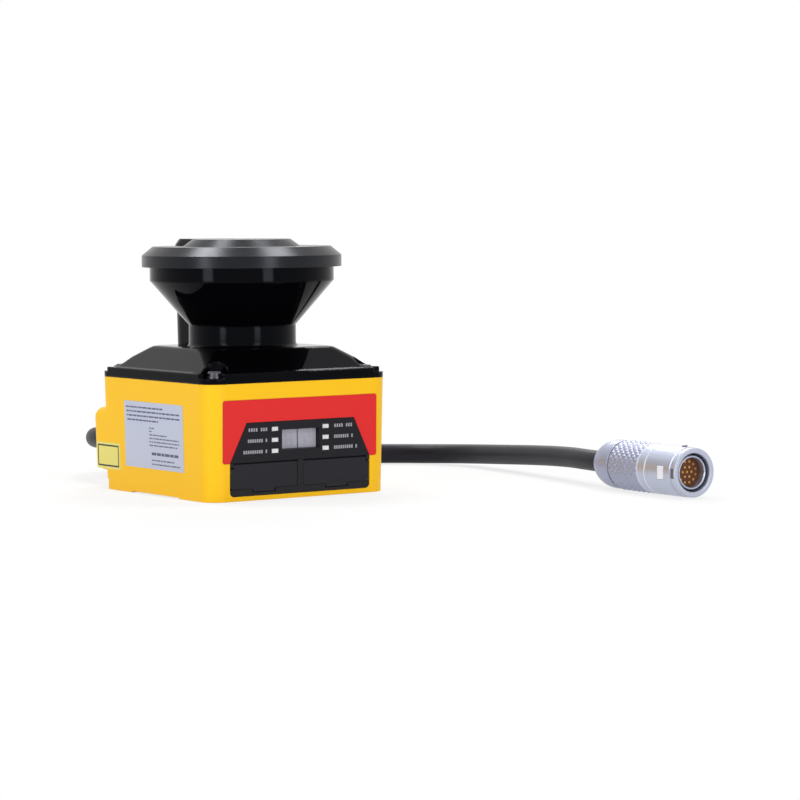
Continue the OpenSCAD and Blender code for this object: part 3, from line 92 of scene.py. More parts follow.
def finish(name, colour, roughness, metallic=0.0, specular=0.5, grain=0.0, grain_size=0.4, edge=0.0,
           uneven=0.04, tint=0.0):
    """A procedural finish. grain is the height of its grain, grain_size its size and edge a bevel's radius,
    all in millimetres. uneven is how far the roughness wanders, and tint by what share the colour does."""
    material = bpy.data.materials.new(name)
    material.use_nodes = True
    tree = material.node_tree
    shader = tree.nodes["Principled BSDF"]
    shader.inputs["Metallic"].default_value = metallic
    shader.inputs["Specular IOR Level"].default_value = specular
    place = tree.nodes.new("ShaderNodeTexCoord")

    cloud = tree.nodes.new("ShaderNodeTexNoise")
    cloud.inputs["Scale"].default_value = clouds_per_metre
    cloud.inputs["Detail"].default_value = 3
    tree.links.new(place.outputs["Object"], cloud.inputs["Vector"])

    rough = tree.nodes.new("ShaderNodeMapRange")
    rough.inputs["To Min"].default_value = max(0.0, roughness - uneven)
    rough.inputs["To Max"].default_value = roughness + uneven
    tree.links.new(cloud.outputs["Fac"], rough.inputs["Value"])
    tree.links.new(rough.outputs["Result"], shader.inputs["Roughness"])

    shade = tree.nodes.new("ShaderNodeMix")
    shade.data_type = "RGBA"
    shade.inputs["A"].default_value = (*[c * (1 - tint) for c in colour], 1)
    shade.inputs["B"].default_value = (*[min(1, c * (1 + tint)) for c in colour], 1)
    tree.links.new(cloud.outputs["Fac"], shade.inputs["Factor"])
    tree.links.new(shade.outputs["Result"], shader.inputs["Base Color"])

    bump = tree.nodes.new("ShaderNodeBump")
    bump.inputs["Strength"].default_value = 1
    bump.inputs["Distance"].default_value = grain * MM
    texture = tree.nodes.new("ShaderNodeTexNoise")
    texture.inputs["Scale"].default_value = 1 / (grain_size * MM)
    texture.inputs["Detail"].default_value = 2
    tree.links.new(place.outputs["Object"], texture.inputs["Vector"])
    tree.links.new(texture.outputs["Fac"], bump.inputs["Height"])
    if edge:
        bevel = tree.nodes.new("ShaderNodeBevel")
        bevel.samples = 4
        bevel.inputs["Radius"].default_value = edge * MM
        tree.links.new(bevel.outputs["Normal"], bump.inputs["Normal"])
    tree.links.new(bump.outputs["Normal"], shader.inputs["Normal"])
    return material


# %% [markdown]
# Colours are easiest to think of on the everyday scale from 0 to 255, but a shader works with amounts of
# light, so one helper turns the first into the second. Another gives a finish to whole CAD nodes by name.

# %% Helpers for colours and for dressing a node
def linear(r, g, b):
    """An everyday 0-255 colour as the linear values that shaders use."""
    def one(c):
        c = c / 255
        return c / 12.92 if c <= 0.04045 else ((c + 0.055) / 1.055) ** 2.4
    return one(r), one(g), one(b)


def dress(material, *names):
    """Gives a material to whole CAD nodes."""
    for name in names:
        slots = nodes[name].data.materials
        slots.clear()
        slots.append(material)
    print(material.name, "->", ", ".join(names))


# %% [markdown]
# The cable is a round lead, 8 mm thick, with a satin sheath. It leaves the gland at the back, swings wide
# round behind the case, comes down to the floor and runs forward into the plug's back nut. Its route is a
# list of points, and a smooth line through them keeps every bend gentle. A curve object with a bevel depth
# is the simplest way to make a tube: the line is the cable's centre, so its length can be measured directly.

# %% The cable's route
route_mm = [
    (-20, 62, 17), (-20, 70, 16.8), (-19, 76.5, 16.4), (-17, 82.4, 15.8), (-13.4, 88.4, 15.1),
    (-8.6, 93.4, 14.3), (-2.8, 97.3, 13.3), (3.7, 99.8, 12.2), (11, 101, 11), (19, 101, 9.8),
    (29, 99.5, 8.4), (40, 96.5, 7.1), (52, 92, 5.9), (64, 86.5, 5), (76, 80.3, 4.4),
    (88, 73.4, 4.1), (101, 65.5, 4.1), (112, 57.5, 4.1), (120.5, 48, 4.2), (126, 36.5, 4.6),
    (127.8, 24, 5.2), (127, 10, 6), (125.4, -5, 6.9), (123.4, -20, 7.8), (121, -35, 8.6),
    (118.2, -50, 9.2), (115.3, -63, 9.4), (113.5, -73, 9.45), (112.9, -78.1, 9.45),
]
plug_yaw = math.radians(4)
plug_rear = Vector(route_mm[-1]) * MM
plug_axis = Vector((-math.sin(plug_yaw), -math.cos(plug_yaw), 0))
plug_side = Vector((math.cos(plug_yaw), -math.sin(plug_yaw), 0))
end_in_plug = 6 * MM
route = [Vector(p) * MM for p in route_mm] + [plug_rear + plug_axis * end_in_plug]


def smooth_line(points, steps):
    """A smooth line that passes through every point, with a few steps between each two."""
    line = []
    for i in range(len(points) - 1):
        a, b = points[max(i - 1, 0)], points[i]
        c, d = points[i + 1], points[min(i + 2, len(points) - 1)]
        for k in range(steps):
            t = k / steps
            line.append(0.5 * (2 * b + (c - a) * t + (2 * a - 5 * b + 4 * c - d) * t * t
                               + (3 * b - a - 3 * c + d) * t ** 3))
    return line + [points[-1]]


cable_line = smooth_line(route, 5)

# %% [markdown]
# A poly spline keeps exactly those points. Its bevel depth is the cable's radius, and its caps close both
# ends, so the tube is a solid shape.

# %% The cable's sheath
cable_r = 4 * MM
cable_curve = bpy.data.curves.new("cable_skin", "CURVE")
cable_curve.dimensions = "3D"
cable_curve.bevel_depth = cable_r
cable_curve.bevel_resolution = 10
cable_curve.use_fill_caps = True
spline = cable_curve.splines.new("POLY")
spline.points.add(len(cable_line) - 1)
for point, place in zip(spline.points, cable_line):
    point.co = (*place, 1)
spline.use_smooth = True
cable_skin = bpy.data.objects.new("cable_skin", cable_curve)
bpy.context.scene.collection.objects.link(cable_skin)
sheath = finish("cable_sheath", linear(25, 24, 33), 0.42, specular=0.2, grain=0.012, grain_size=0.5)
cable_curve.materials.append(sheath)
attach(cable_skin, "scanner")
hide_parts("cable")
print("cable skin made, on", len(spline.points), "points")

# %% [markdown]
# The case and its rear cover are die castings with a warm yellow powder coat. Powder flows as it melts, so
# the coat is smooth but never flat: it keeps a very fine orange peel. An image could show that, but a low
# grain from a noise needs no unwrapping and looks right from any distance. The bevel is small, so that the
# seams stay crisp.

# %% Yellow coat
yellow = finish("yellow_coat", linear(255, 198, 18), 0.4, specular=0.22, grain=0.006, grain_size=0.7,
                edge=0.3, tint=0.015)
dress(yellow, "case", "rear_cover")

# %% [markdown]
# The window is one moulding that looks black but lets infrared light through. It is polished, so nearly
# all that is seen of it is what it mirrors. A dark glass could be used, but the eye sees nothing through
# the real one, so an opaque black with a very low roughness looks the same and renders faster. The cap is
# duller: a dark satin finish that catches the light along its chamfer.

# %% Black window and dark cap
window_black = finish("window_black", linear(4, 4, 6), 0.06, specular=0.06, uneven=0.01, edge=1.2)
window_black.node_tree.nodes["Principled BSDF"].inputs["Specular Tint"].default_value = (0.8, 0.85, 1, 1)
dress(window_black, "optical_window", "rear_column")
cap_dark = finish("cap_dark", linear(14, 14, 17), 0.26, specular=0.26, grain=0.003, grain_size=0.25,
                  edge=0.25)
cap_dark.node_tree.nodes["Principled BSDF"].inputs["Specular Tint"].default_value = (0.85, 0.88, 1, 1)
dress(cap_dark, "top_cap")

# %% [markdown]
# The front holds a red printed film, a dark tinted lens with white light pipes and a two-figure display,
# and two flip covers in fine-grained plastic. Each is its own piece, so each gets its own finish, and no
# texture has to be lined up with an edge.

# %% Front finishes
overlay_red = finish("overlay_red", linear(226, 42, 42), 0.36, specular=0.2, grain=0.003, grain_size=0.5)
dress(overlay_red, "front_overlay")
lens_dark = finish("lens_dark", linear(32, 31, 36), 0.22, specular=0.12)
dress(lens_dark, "display_lens")
panel_dark = finish("panel_dark", linear(26, 26, 30), 0.45, specular=0.2, grain=0.01, grain_size=0.35,
                    edge=0.12)
dress(panel_dark, "front_panel")
cover_dark = finish("cover_dark", linear(33, 32, 38), 0.42, specular=0.18, grain=0.012, grain_size=0.3,
                    edge=0.2)
dress(cover_dark, "port_cover_left", "port_cover_right")
digit_grey = finish("digit_grey", linear(176, 176, 188), 0.4, specular=0.4, tint=0.05)
dress(digit_grey, "digit_display")
led_white = finish("led_white", linear(236, 237, 240), 0.4, specular=0.4)
dress(led_white, "led_lenses")

# %% [markdown]
# The rest of the CAD pieces are metals, rubbers and boards. Most sit inside the case, and the same few
# finishes serve them all: a piece that a repair would bring to light still looks right.

# %% Metals, rubber and boards
steel = finish("plated_steel", linear(188, 189, 194), 0.28, metallic=1, grain=0.004, grain_size=0.3, edge=0.1)
dress(steel, "rear_cover_screws", "chassis_screws", "board_screws", "gland_nut", "usb_port",
      "bearings", "encoder_disc")
black_steel = finish("blackened_steel", linear(86, 86, 92), 0.3, metallic=1, grain=0.004, grain_size=0.3,
                     edge=0.1)
dress(black_steel, "window_screws")
dark_steel = finish("dark_steel", linear(110, 112, 118), 0.4, metallic=1, grain=0.006, grain_size=0.3)
dress(dark_steel, "stator", "magnet_ring", "bearing_spacer")
alloy = finish("machined_alloy", linear(186, 188, 192), 0.35, metallic=1, grain=0.006, grain_size=0.25,
               edge=0.15)
dress(alloy, "chassis", "rotor", "head_frame")
rubber = finish("black_rubber", linear(28, 28, 30), 0.7, specular=0.3, grain=0.02, grain_size=0.4, edge=0.2)
dress(rubber, "rear_gasket", "window_gasket", "cap_gasket", "cable_gland")
plain_black = finish("plain_black", linear(32, 32, 35), 0.5, grain=0.01, grain_size=0.4)
dress(plain_black, "link_port", "rear_connector", "encoder_sensor", "mirror_hub")
board_green = finish("board_green", linear(20, 96, 52), 0.35, specular=0.5, tint=0.08)
dress(board_green, "display_board", "power_board", "main_board", "memory_board", "detector_board",
      "head_board")
brass = finish("turned_brass", linear(214, 178, 96), 0.3, metallic=1, grain=0.004, grain_size=0.3)
dress(brass, "board_spacers", "laser_module")
copper = finish("copper_wire", linear(200, 112, 62), 0.35, metallic=1, grain=0.02, grain_size=0.3)
dress(copper, "windings")
amber_film = finish("amber_film", linear(214, 142, 50), 0.4, tint=0.05)
dress(amber_film, "head_ribbon")

# %% [markdown]
# The drive carries two silvered mirrors, and two coated glass lenses stand in their light. Their roughness
# is close to nothing. The glass lets most light through it, by the shader's own transmission value.

# %% Mirrors and lenses
silvered = finish("silvered", linear(236, 238, 242), 0.03, metallic=1, uneven=0.01)
dress(silvered, "receive_mirror", "emit_mirror")
coated_glass = finish("coated_glass", linear(214, 228, 244), 0.03, uneven=0.01)
coated_glass.node_tree.nodes["Principled BSDF"].inputs["Transmission Weight"].default_value = 0.9
dress(coated_glass, "receiver_lens", "collimator_lens")

# %% [markdown]
# The plug is a round push-pull connector. Its barrel is satin nickel, and the nut behind it is duller, and
# both colours lean a little to the cold side. Metallic stays a little below one, so that some plain colour
# is left where the metal mirrors no lamp. The insert that holds the contacts is brown plastic, and the
# contacts are plated with gold.

# %% Plug finishes
nickel = finish("satin_nickel", linear(184, 189, 206), 0.38, metallic=0.8, specular=0.4, grain=0.002,
                grain_size=0.3, edge=0.15, tint=0.03)
dress(nickel, "plug_shell", "plug_carrier")
nickel_matt = finish("matt_nickel", linear(160, 164, 184), 0.42, metallic=0.75, specular=0.4, grain=0.004,
                     grain_size=0.2, edge=0.15, tint=0.04)
dress(nickel_matt, "plug_back_nut")
insert_brown = finish("insert_brown", linear(92, 50, 22), 0.45, specular=0.3, tint=0.1)
dress(insert_brown, "plug_insert")
contact_gold = finish("contact_gold", linear(196, 146, 76), 0.3, metallic=1)
dress(contact_gold, "plug_contacts")

# %% [markdown]
# The plug's pieces are round and lie along one slanted axis. It is easiest to give a point of them as a
# lathe hand would, by its radius, its angle and its distance along the axis. One helper turns that into
# metres in the scanner's frame, and another sweeps an outline round the axis into a closed ring.

# %% Helpers for turned pieces
UP = Vector((0, 0, 1))


def plug_point(r, angle, along):
    """A point on the plug, from its radius, its angle and its distance from the plug's rear end, in mm."""
    spoke = plug_side * math.cos(angle) * r + UP * math.sin(angle) * r
    return plug_rear + (spoke + plug_axis * along) * MM


def turned(name, outline, around):
    """A closed ring of revolution on the plug's axis."""
    verts = [plug_point(r, 2 * math.pi * k / around, a) for k in range(around) for r, a in outline]
    n = len(outline)
    faces = [(k * n + i, k * n + (i + 1) % n, (k + 1) % around * n + (i + 1) % n, (k + 1) % around * n + i)
             for k in range(around) for i in range(n)]
    mesh = bpy.data.meshes.new(name)
    mesh.from_pydata(verts, [], faces)
    thing = bpy.data.objects.new(name, mesh)
    bpy.context.scene.collection.objects.link(thing)
    return thing


def face_outwards(thing):
    """Turns every face of a closed mesh outwards."""
    work = bmesh.new()
    work.from_mesh(thing.data)
    bmesh.ops.remove_doubles(work, verts=work.verts, dist=1e-6)
    bmesh.ops.recalc_face_normals(work, faces=work.faces)
    work.to_mesh(thing.data)
    work.free()


# %% [markdown]
# The sliding sleeve is knurled so that a gloved hand can pull it. A knurl is a rule, not a drawing: two
# sets of grooves wind round the sleeve in opposite directions, and what is left between them is diamonds.
# So the sleeve starts as a plain turned ring with a fine mesh, and a Geometry Nodes tree moves its outer
# points inwards by that rule. Two narrow turned grooves part the knurl into bands.

# %% The plain sleeve, with a fine outer wall
sleeve_low, sleeve_high = 15.3, 32.95
sleeve_bore, sleeve_r, mouth_over_nut = 8.5, 9.45, 9.05
counterbore_deep = 2.7
rear_edge_r, front_edge_r = 9.3, 9.1
rear_chamfer, front_chamfer = 0.2, 0.3
wall_start = sleeve_low + rear_chamfer
wall_length = sleeve_high - sleeve_low - (rear_chamfer + front_chamfer)
band_grooves = (20.1, 26.4)
band_groove_half, band_groove_deep = 0.22, 0.4


def sleeve_outline(steps=88):
    """The ring's outline as (radius, along): the knurled wall in fine steps, then the plain inner wall."""
    counterbore = sleeve_low + counterbore_deep
    outline = [(sleeve_bore, counterbore), (mouth_over_nut, counterbore), (mouth_over_nut, sleeve_low),
               (rear_edge_r, sleeve_low)]
    for i in range(steps + 1):
        along = wall_start + wall_length * i / steps
        in_groove = min(abs(along - g) for g in band_grooves) < band_groove_half
        outline.append((sleeve_r - (band_groove_deep if in_groove else 0), along))
    return outline + [(front_edge_r, sleeve_high), (sleeve_bore, sleeve_high)]


knurled_sleeve = turned("knurled_sleeve", sleeve_outline(), around=288)
face_outwards(knurled_sleeve)
print("plain ring:", len(knurled_sleeve.data.polygons), "faces")

# %% [markdown]
# A Geometry Nodes tree reads like a sentence when each node takes one line. One helper adds a node and
# fills its inputs, by name or by number, with a value or a link. Another starts a tree with a mesh going in
# and out and a named number for each size, which then shows as a slider on the modifier.

# %% Helpers for node trees
def node(tree, kind, operation=None, **values):
    """Adds a node and sets its inputs: i0, i1 and so on by number, others by name. A socket is linked."""
    made = tree.nodes.new(kind)
    if operation:
        made.operation = operation
    for key, value in values.items():
        socket = made.inputs[int(key[1:])] if key[0] == "i" and key[1:].isdigit() else made.inputs[key]
        if isinstance(value, bpy.types.NodeSocket):
            tree.links.new(value, socket)
        else:
            socket.default_value = value
    return made


def group_with(name, **sizes):
    """An empty tree with a Geometry input and output, and one named number input for each size."""
    tree = bpy.data.node_groups.new(name, "GeometryNodeTree")
    tree.interface.new_socket("Geometry", in_out="INPUT", socket_type="NodeSocketGeometry")
    for label, value in sizes.items():
        shown = label.replace("_", " ")
        socket = tree.interface.new_socket(shown, in_out="INPUT", socket_type="NodeSocketFloat")
        socket.default_value = value
    tree.interface.new_socket("Geometry", in_out="OUTPUT", socket_type="NodeSocketGeometry")
    return tree, tree.nodes.new("NodeGroupInput"), tree.nodes.new("NodeGroupOutput")


# %% [markdown]
# The tree first asks where each point lies on the plug: how far along the axis, how far round it and how
# far from it. Counted in diamonds, the first two give a phase that runs slantwise, and one phase for each
# direction of winding makes the two sets of grooves.

# %% The knurl's tree: where a point lies
knurl, given, result = group_with("knurl", Diamonds_around=26, Diamond_length=3.15 * MM, Depth=0.34 * MM,
                                  Outer_radius=9.3 * MM)
position = knurl.nodes.new("GeometryNodeInputPosition").outputs[0]
from_rear = node(knurl, "ShaderNodeVectorMath", "SUBTRACT", i0=position, i1=plug_rear).outputs[0]
along = node(knurl, "ShaderNodeVectorMath", "DOT_PRODUCT", i0=from_rear, i1=plug_axis).outputs["Value"]
across = node(knurl, "ShaderNodeVectorMath", "DOT_PRODUCT", i0=from_rear, i1=plug_side).outputs["Value"]
height = node(knurl, "ShaderNodeVectorMath", "DOT_PRODUCT", i0=from_rear, i1=UP).outputs["Value"]
angle = node(knurl, "ShaderNodeMath", "ARCTAN2", i0=height, i1=across).outputs[0]
turns = node(knurl, "ShaderNodeMath", "DIVIDE", i0=angle, i1=2 * math.pi).outputs[0]
around = node(knurl, "ShaderNodeMath", "MULTIPLY", i0=turns, i1=given.outputs["Diamonds around"]).outputs[0]
rows = node(knurl, "ShaderNodeMath", "DIVIDE", i0=along, i1=given.outputs["Diamond length"]).outputs[0]
on_axis = node(knurl, "ShaderNodeVectorMath", "SCALE", i0=plug_axis, Scale=along).outputs[0]
outward = node(knurl, "ShaderNodeVectorMath", "SUBTRACT", i0=from_rear, i1=on_axis).outputs[0]
radius = node(knurl, "ShaderNodeVectorMath", "LENGTH", i0=outward).outputs["Value"]
print("knurl tree:", len(knurl.nodes), "nodes so far")

# %% [markdown]
# A ping-pong wave turns each phase into a ramp up and down. The deeper of the two grooves wins, and what is
# shallower than a quarter isn't cut at all, so the diamonds keep small flat tops. Only points beyond the
# outer radius move, so the bore and the two turned grooves stay plain.

# %% The knurl's tree: cut the grooves
flat_share = 0.25


def groove(sign):
    """How deep one set of grooves is at a point, from 0 on a ridge to 1 in a groove."""
    phase = node(knurl, "ShaderNodeMath", "MULTIPLY_ADD", i0=rows, i1=sign, i2=around).outputs[0]
    wave = node(knurl, "ShaderNodeMath", "PINGPONG", i0=phase, i1=0.5).outputs[0]
    return node(knurl, "ShaderNodeMath", "MULTIPLY_ADD", i0=wave, i1=-2, i2=1).outputs[0]


both = node(knurl, "ShaderNodeMath", "MAXIMUM", i0=groove(1), i1=groove(-1)).outputs[0]
cut_share = node(knurl, "ShaderNodeMath", "SUBTRACT", i0=both, i1=flat_share)
cut_share.use_clamp = True
cut = cut_share.outputs[0]
depth = node(knurl, "ShaderNodeMath", "MULTIPLY", i0=cut, i1=given.outputs["Depth"]).outputs[0]
inward = node(knurl, "ShaderNodeMath", "MULTIPLY", i0=depth, i1=-1).outputs[0]
unit_out = node(knurl, "ShaderNodeVectorMath", "NORMALIZE", i0=outward).outputs[0]
push = node(knurl, "ShaderNodeVectorMath", "SCALE", i0=unit_out, Scale=inward).outputs[0]
limit = given.outputs["Outer radius"]
outer = node(knurl, "FunctionNodeCompare", "GREATER_THAN", i0=radius, i1=limit).outputs[0]
moved = node(knurl, "GeometryNodeSetPosition", Geometry=given.outputs["Geometry"], Selection=outer,
             Offset=push)
real = node(knurl, "GeometryNodeRealizeInstances", Geometry=moved.outputs["Geometry"])
coated = node(knurl, "GeometryNodeSetMaterial", Geometry=real.outputs["Geometry"], Material=nickel_matt)
knurl.links.new(coated.outputs["Geometry"], result.inputs["Geometry"])
print("knurl tree:", len(knurl.nodes), "nodes")

# %% [markdown]
# A tree only describes a shape. To keep the shape itself, the piece wears the tree as a modifier with its
# inputs set, Blender works the result out, and that result becomes the piece's own mesh. Inputs are found
# by their socket's identifier, because two inputs may share a name but never an identifier.

# %% Run the tree and keep the sleeve
def bake_nodes(thing, tree, **sizes):
    """Runs a tree on a piece, with its own sizes for the named inputs, and keeps the result as a mesh."""
    modifier = thing.modifiers.new(tree.name, "NODES")
    modifier.node_group = tree
    sockets = {item.name: item.identifier for item in tree.interface.items_tree if item.in_out == "INPUT"}
    for label, value in sizes.items():
        modifier[sockets[label.replace("_", " ")]] = float(value)
    depsgraph = bpy.context.evaluated_depsgraph_get()
    mesh = bpy.data.meshes.new_from_object(thing.evaluated_get(depsgraph))
    thing.modifiers.remove(modifier)
    thing.data = mesh


bake_nodes(knurled_sleeve, knurl)
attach(knurled_sleeve, "plug_sleeve_ring")
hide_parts("plug_sleeve")
print("knurled sleeve:", len(knurled_sleeve.data.polygons), "faces")

# %% [markdown]
# Small parts finish the plug. Two spring latches show as flats on the barrel, their near-white colour a
# painted highlight on real latches, and a pin on top tells a hand which way round it goes. The lip's notches
# for the socket's keys are not cut: two dark blocks stand there instead, as painted shade. Each is a block
# that stands a fraction of a millimetre out of the barrel, with a small live bevel that softens its edges.

# %% Latches, painted slot shade and pin
# Near white and barely metallic, so it looks bright under any lamp: a painted highlight on real nickel parts.
nickel_and_painted_highlight = finish("nickel_and_painted_highlight", linear(240, 242, 250), 0.2, metallic=0.25, uneven=0.02)


def plug_block(name, angle, along, sizes, radius, rise, material):
    """A block on the barrel, its foot at a radius. sizes are long, across and thick, in mm, and its rear end
    is thicker than its front end by rise."""
    long, across, thick = sizes
    middle = math.radians(angle)
    out = plug_point(1, middle, 0) - plug_point(0, middle, 0)
    sideways = plug_point(1, middle + math.pi / 2, 0) - plug_point(0, middle, 0)
    corners = [(a, b, c) for a in (-0.5, 0.5) for b in (-0.5, 0.5) for c in (0, 1)]
    verts = [plug_point(0, 0, along + a * long) + sideways * b * across
             + out * (radius + c * (thick + (rise if a < 0 else 0))) for a, b, c in corners]
    faces = [(0, 1, 3, 2), (4, 6, 7, 5), (0, 4, 5, 1), (2, 3, 7, 6), (0, 2, 6, 4), (1, 5, 7, 3)]
    mesh = bpy.data.meshes.new(name)
    mesh.from_pydata(verts, [], faces)
    thing = bpy.data.objects.new(name, mesh)
    bpy.context.scene.collection.objects.link(thing)
    face_outwards(thing)
    mesh.materials.append(material)
    softened = thing.modifiers.new("softened", "BEVEL")
    softened.width, softened.segments = 0.12 * MM, 2
    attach(thing, "scanner")


latch_along, painted_slot_shade_along, pin_along = 48.0, 55.1, 50.6
for side, angle in (("left", 180), ("right", 0)):
    plug_block("latch_" + side, angle, latch_along, (3.3, 4.8, 0.25), 8.8, 0.3, nickel_and_painted_highlight)
    # The two dark blocks are painted shade, standing where the key slots' recesses would look dark.
    plug_block("painted_slot_shade_" + side, angle, painted_slot_shade_along, (1.7, 3.6, 0.27), 8.85, 0.0, dark_steel)
plug_block("top_pin", 90, pin_along, (1.7, 1.5, 0.9), 8.9, -0.3, dark_steel)
print("2 latches, 2 notches and a pin")

# %% [markdown]
# Two turned edges run round the barrel, where a lathe tool has cut through the satin. Their near-white colour
# is partly that bare metal and partly a painted highlight. Each is a low ring with a chamfer on both sides,
# made by the same helper as the sleeve.

# %% Bright edges
edge_foot_r, edge_top_r, edge_chamfer = 9.0, 9.34, 0.1
for name, start, end in (("bright_edges", 33.25, 33.72), ("second_edge", 37.72, 38.12)):
    ring = turned(name, [(edge_foot_r, start), (edge_top_r, start + edge_chamfer),
                         (edge_top_r, end - edge_chamfer), (edge_foot_r, end)], around=144)
    face_outwards(ring)
    ring.data.materials.append(nickel_and_painted_highlight)
    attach(ring, "scanner")
    print(name, "from", start, "to", end, "mm along the plug")

# %% [markdown]
# Two thin plates are stuck to the left side: a large silvery one on the flat of the case, and behind it a
# small pale yellow one with a dark border, where the flat runs on into the side of the hump. Neither says
# anything here. The wall they sit on leans out by the mould's draft, so the plates follow it: each point's
# distance from the middle grows with its height.

# %% Helpers for thin plates
foot_half, draft, case_high = 39.14, 0.86, 43
wall_lean = math.atan(draft / case_high)


def wall_x(height):
    """How far the left wall stands from the middle at a height, in mm."""
    return foot_half + draft * height / case_high


def rounded_rectangle(a0, a1, b0, b1, r, steps=5):
    """The outline of a rectangle with round corners, as pairs, counterclockwise."""
    corners = ((a1 - r, b1 - r, 0), (a0 + r, b1 - r, 90), (a0 + r, b0 + r, 180), (a1 - r, b0 + r, 270))
    outline = []
    for a, b, start in corners:
        for i in range(steps + 1):
            turn = math.radians(start + 90 * i / steps)
            outline.append((a + r * math.cos(turn), b + r * math.sin(turn)))
    return outline


def sheet_piece(name, outline, thickness, lift, place, material):
    """A thin closed sheet: outline in the surface's own two directions, place maps (a, b, out) to metres."""
    n = len(outline)
    verts = [place(a, b, lift) for a, b in outline] + [place(a, b, lift + thickness) for a, b in outline]
    faces = [tuple(range(n)), tuple(range(2 * n - 1, n - 1, -1))]
    faces += [(i, (i + 1) % n, n + (i + 1) % n, n + i) for i in range(n)]
    mesh = bpy.data.meshes.new(name)
    mesh.from_pydata(verts, [], faces)
    thing = bpy.data.objects.new(name, mesh)
    bpy.context.scene.collection.objects.link(thing)
    face_outwards(thing)
    mesh.materials.append(material)
    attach(thing, "scanner")


def on_left_wall(y, z, out):
    """A point on the left wall, in metres: y and z as in the scanner's frame, out of the wall, in mm."""
    return Vector((-(wall_x(z) + out), y, z)) * MM


print("left wall:", round(wall_x(0), 2), "mm out at the foot,", round(wall_x(case_high), 2), "mm at the top")

# %% [markdown]
# The plates are films about a tenth of a millimetre thick. The small one's border is four thinner strips
# that lie on top of it, since a strip of its own is easier to place and to recolour than a line in a
# texture. The upright strips start inside the level ones, so that the border's outer corners come out clean.

# %% Bare plates on the left side
rating_plate_box, small_plate_box = (-21.4, 20.7, 9.9, 34.7), (24.9, 42.4, 7.7, 17.9)
line_y0, line_y1, line_z0, line_z1 = 25.9, 41.6, 8.7, 17.0
line_wide, upright_inset = 0.6, 0.4
plate_t, small_plate_t, line_t = 0.12, 0.08, 0.02
silver_film = finish("silver_film", linear(192, 198, 218), 0.4, specular=0.3, grain=0.002, grain_size=0.3)
sheet_piece("rating_plate", rounded_rectangle(*rating_plate_box, r=0.6), plate_t, 0.0, on_left_wall,
            silver_film)
ink_dark = finish("ink_dark", linear(30, 30, 32), 0.5)
pale_yellow = finish("pale_yellow", linear(232, 222, 122), 0.45, specular=0.25, tint=0.02)
sheet_piece("small_plate", rounded_rectangle(*small_plate_box, r=0.5), small_plate_t, 0.0, on_left_wall,
            pale_yellow)
upright = (line_z0 + upright_inset, line_z1 - upright_inset)
strips = {"left": (line_y1 - line_wide, line_y1, *upright), "right": (line_y0, line_y0 + line_wide, *upright),
          "low": (line_y0, line_y1, line_z0, line_z0 + line_wide),
          "top": (line_y0, line_y1, line_z1 - line_wide, line_z1)}
for side, box in strips.items():
    sheet_piece("small_plate_line_" + side, rounded_rectangle(*box, r=0.1), line_t, small_plate_t,
                on_left_wall, ink_dark)
print("plates on the left side: 2, and 4 border lines")

# %% [markdown]
# Beside each light there is a short printed caption, and the silvery plate carries rows of small print.
# Real print says something; here it is what a designer calls greeked text, a row of plain blocks, one for
# each letter or word, which reads as print from a distance and says nothing. Blocks repeat, so one small
# Geometry Nodes tree places a block on each point and sizes it by that point's own width and height.

# %% Blocks of print as a Geometry Nodes tree
blocks, given, result = group_with("print_blocks", Thickness=0.02 * MM, Lean=0.0, Turn=0.0)
cube = node(blocks, "GeometryNodeMeshCube")
cube_size = node(blocks, "ShaderNodeCombineXYZ", i0=1.0, i1=given.outputs["Thickness"], i2=1.0)
blocks.links.new(cube_size.outputs[0], cube.inputs["Size"])
width = node(blocks, "GeometryNodeInputNamedAttribute", Name="block_width").outputs["Attribute"]
tall = node(blocks, "GeometryNodeInputNamedAttribute", Name="block_height").outputs["Attribute"]
stretch = node(blocks, "ShaderNodeCombineXYZ", i0=width, i1=1.0, i2=tall).outputs[0]
facing = node(blocks, "ShaderNodeCombineXYZ", i0=given.outputs["Lean"], i1=0.0, i2=given.outputs["Turn"])
spots = node(blocks, "GeometryNodeMeshToPoints", Mesh=given.outputs["Geometry"]).outputs[0]
copies = node(blocks, "GeometryNodeInstanceOnPoints", Points=spots, Instance=cube.outputs["Mesh"],
              Rotation=facing.outputs[0], Scale=stretch)
real = node(blocks, "GeometryNodeRealizeInstances", Geometry=copies.outputs[0])
inked = node(blocks, "GeometryNodeSetMaterial", Geometry=real.outputs["Geometry"])
blocks.links.new(inked.outputs["Geometry"], result.inputs["Geometry"])
print("print tree:", len(blocks.nodes), "nodes")

# %% [markdown]
# A piece of print starts as loose points on a face, each with the width and height of its block stored as
# attributes. The tree reads those, puts a block on every point, and leans and turns it to lie on the face.

# %% Helpers for print
def print_piece(name, spots, place, material, turn=0.0):
    """A piece of print. Each spot is (along, up, width, height) in mm, on the face that place describes."""
    mesh = bpy.data.meshes.new(name)
    mesh.from_pydata([place(a, b) for a, b, w, h in spots], [], [])
    for label, index in (("block_width", 2), ("block_height", 3)):
        sizes = mesh.attributes.new(label, "FLOAT", "POINT")
        for item, spot in zip(sizes.data, spots):
            item.value = spot[index] * MM
    thing = bpy.data.objects.new(name, mesh)
    bpy.context.scene.collection.objects.link(thing)
    inked.inputs["Material"].default_value = material
    bake_nodes(thing, blocks, Lean=wall_lean, Turn=turn)
    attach(thing, "scanner")
    print(name, len(spots), "blocks")


def on_front_face(u, v, out):
    """A point on the leaning front face: u to the right, v up the face, out of it, in mm."""
    return Vector((u, -foot_half - v * math.sin(wall_lean) - out * math.cos(wall_lean),
                   v * math.cos(wall_lean) - out * math.sin(wall_lean))) * MM


# %% [markdown]
# Each light has two short words beside it, on the side away from the display. The blocks stand in even
# steps, with one step left empty between the words. The upper row is set a little wider than the others.
# The lens lies a little behind the case's front face, and the print lies on the lens, so it is set back too.

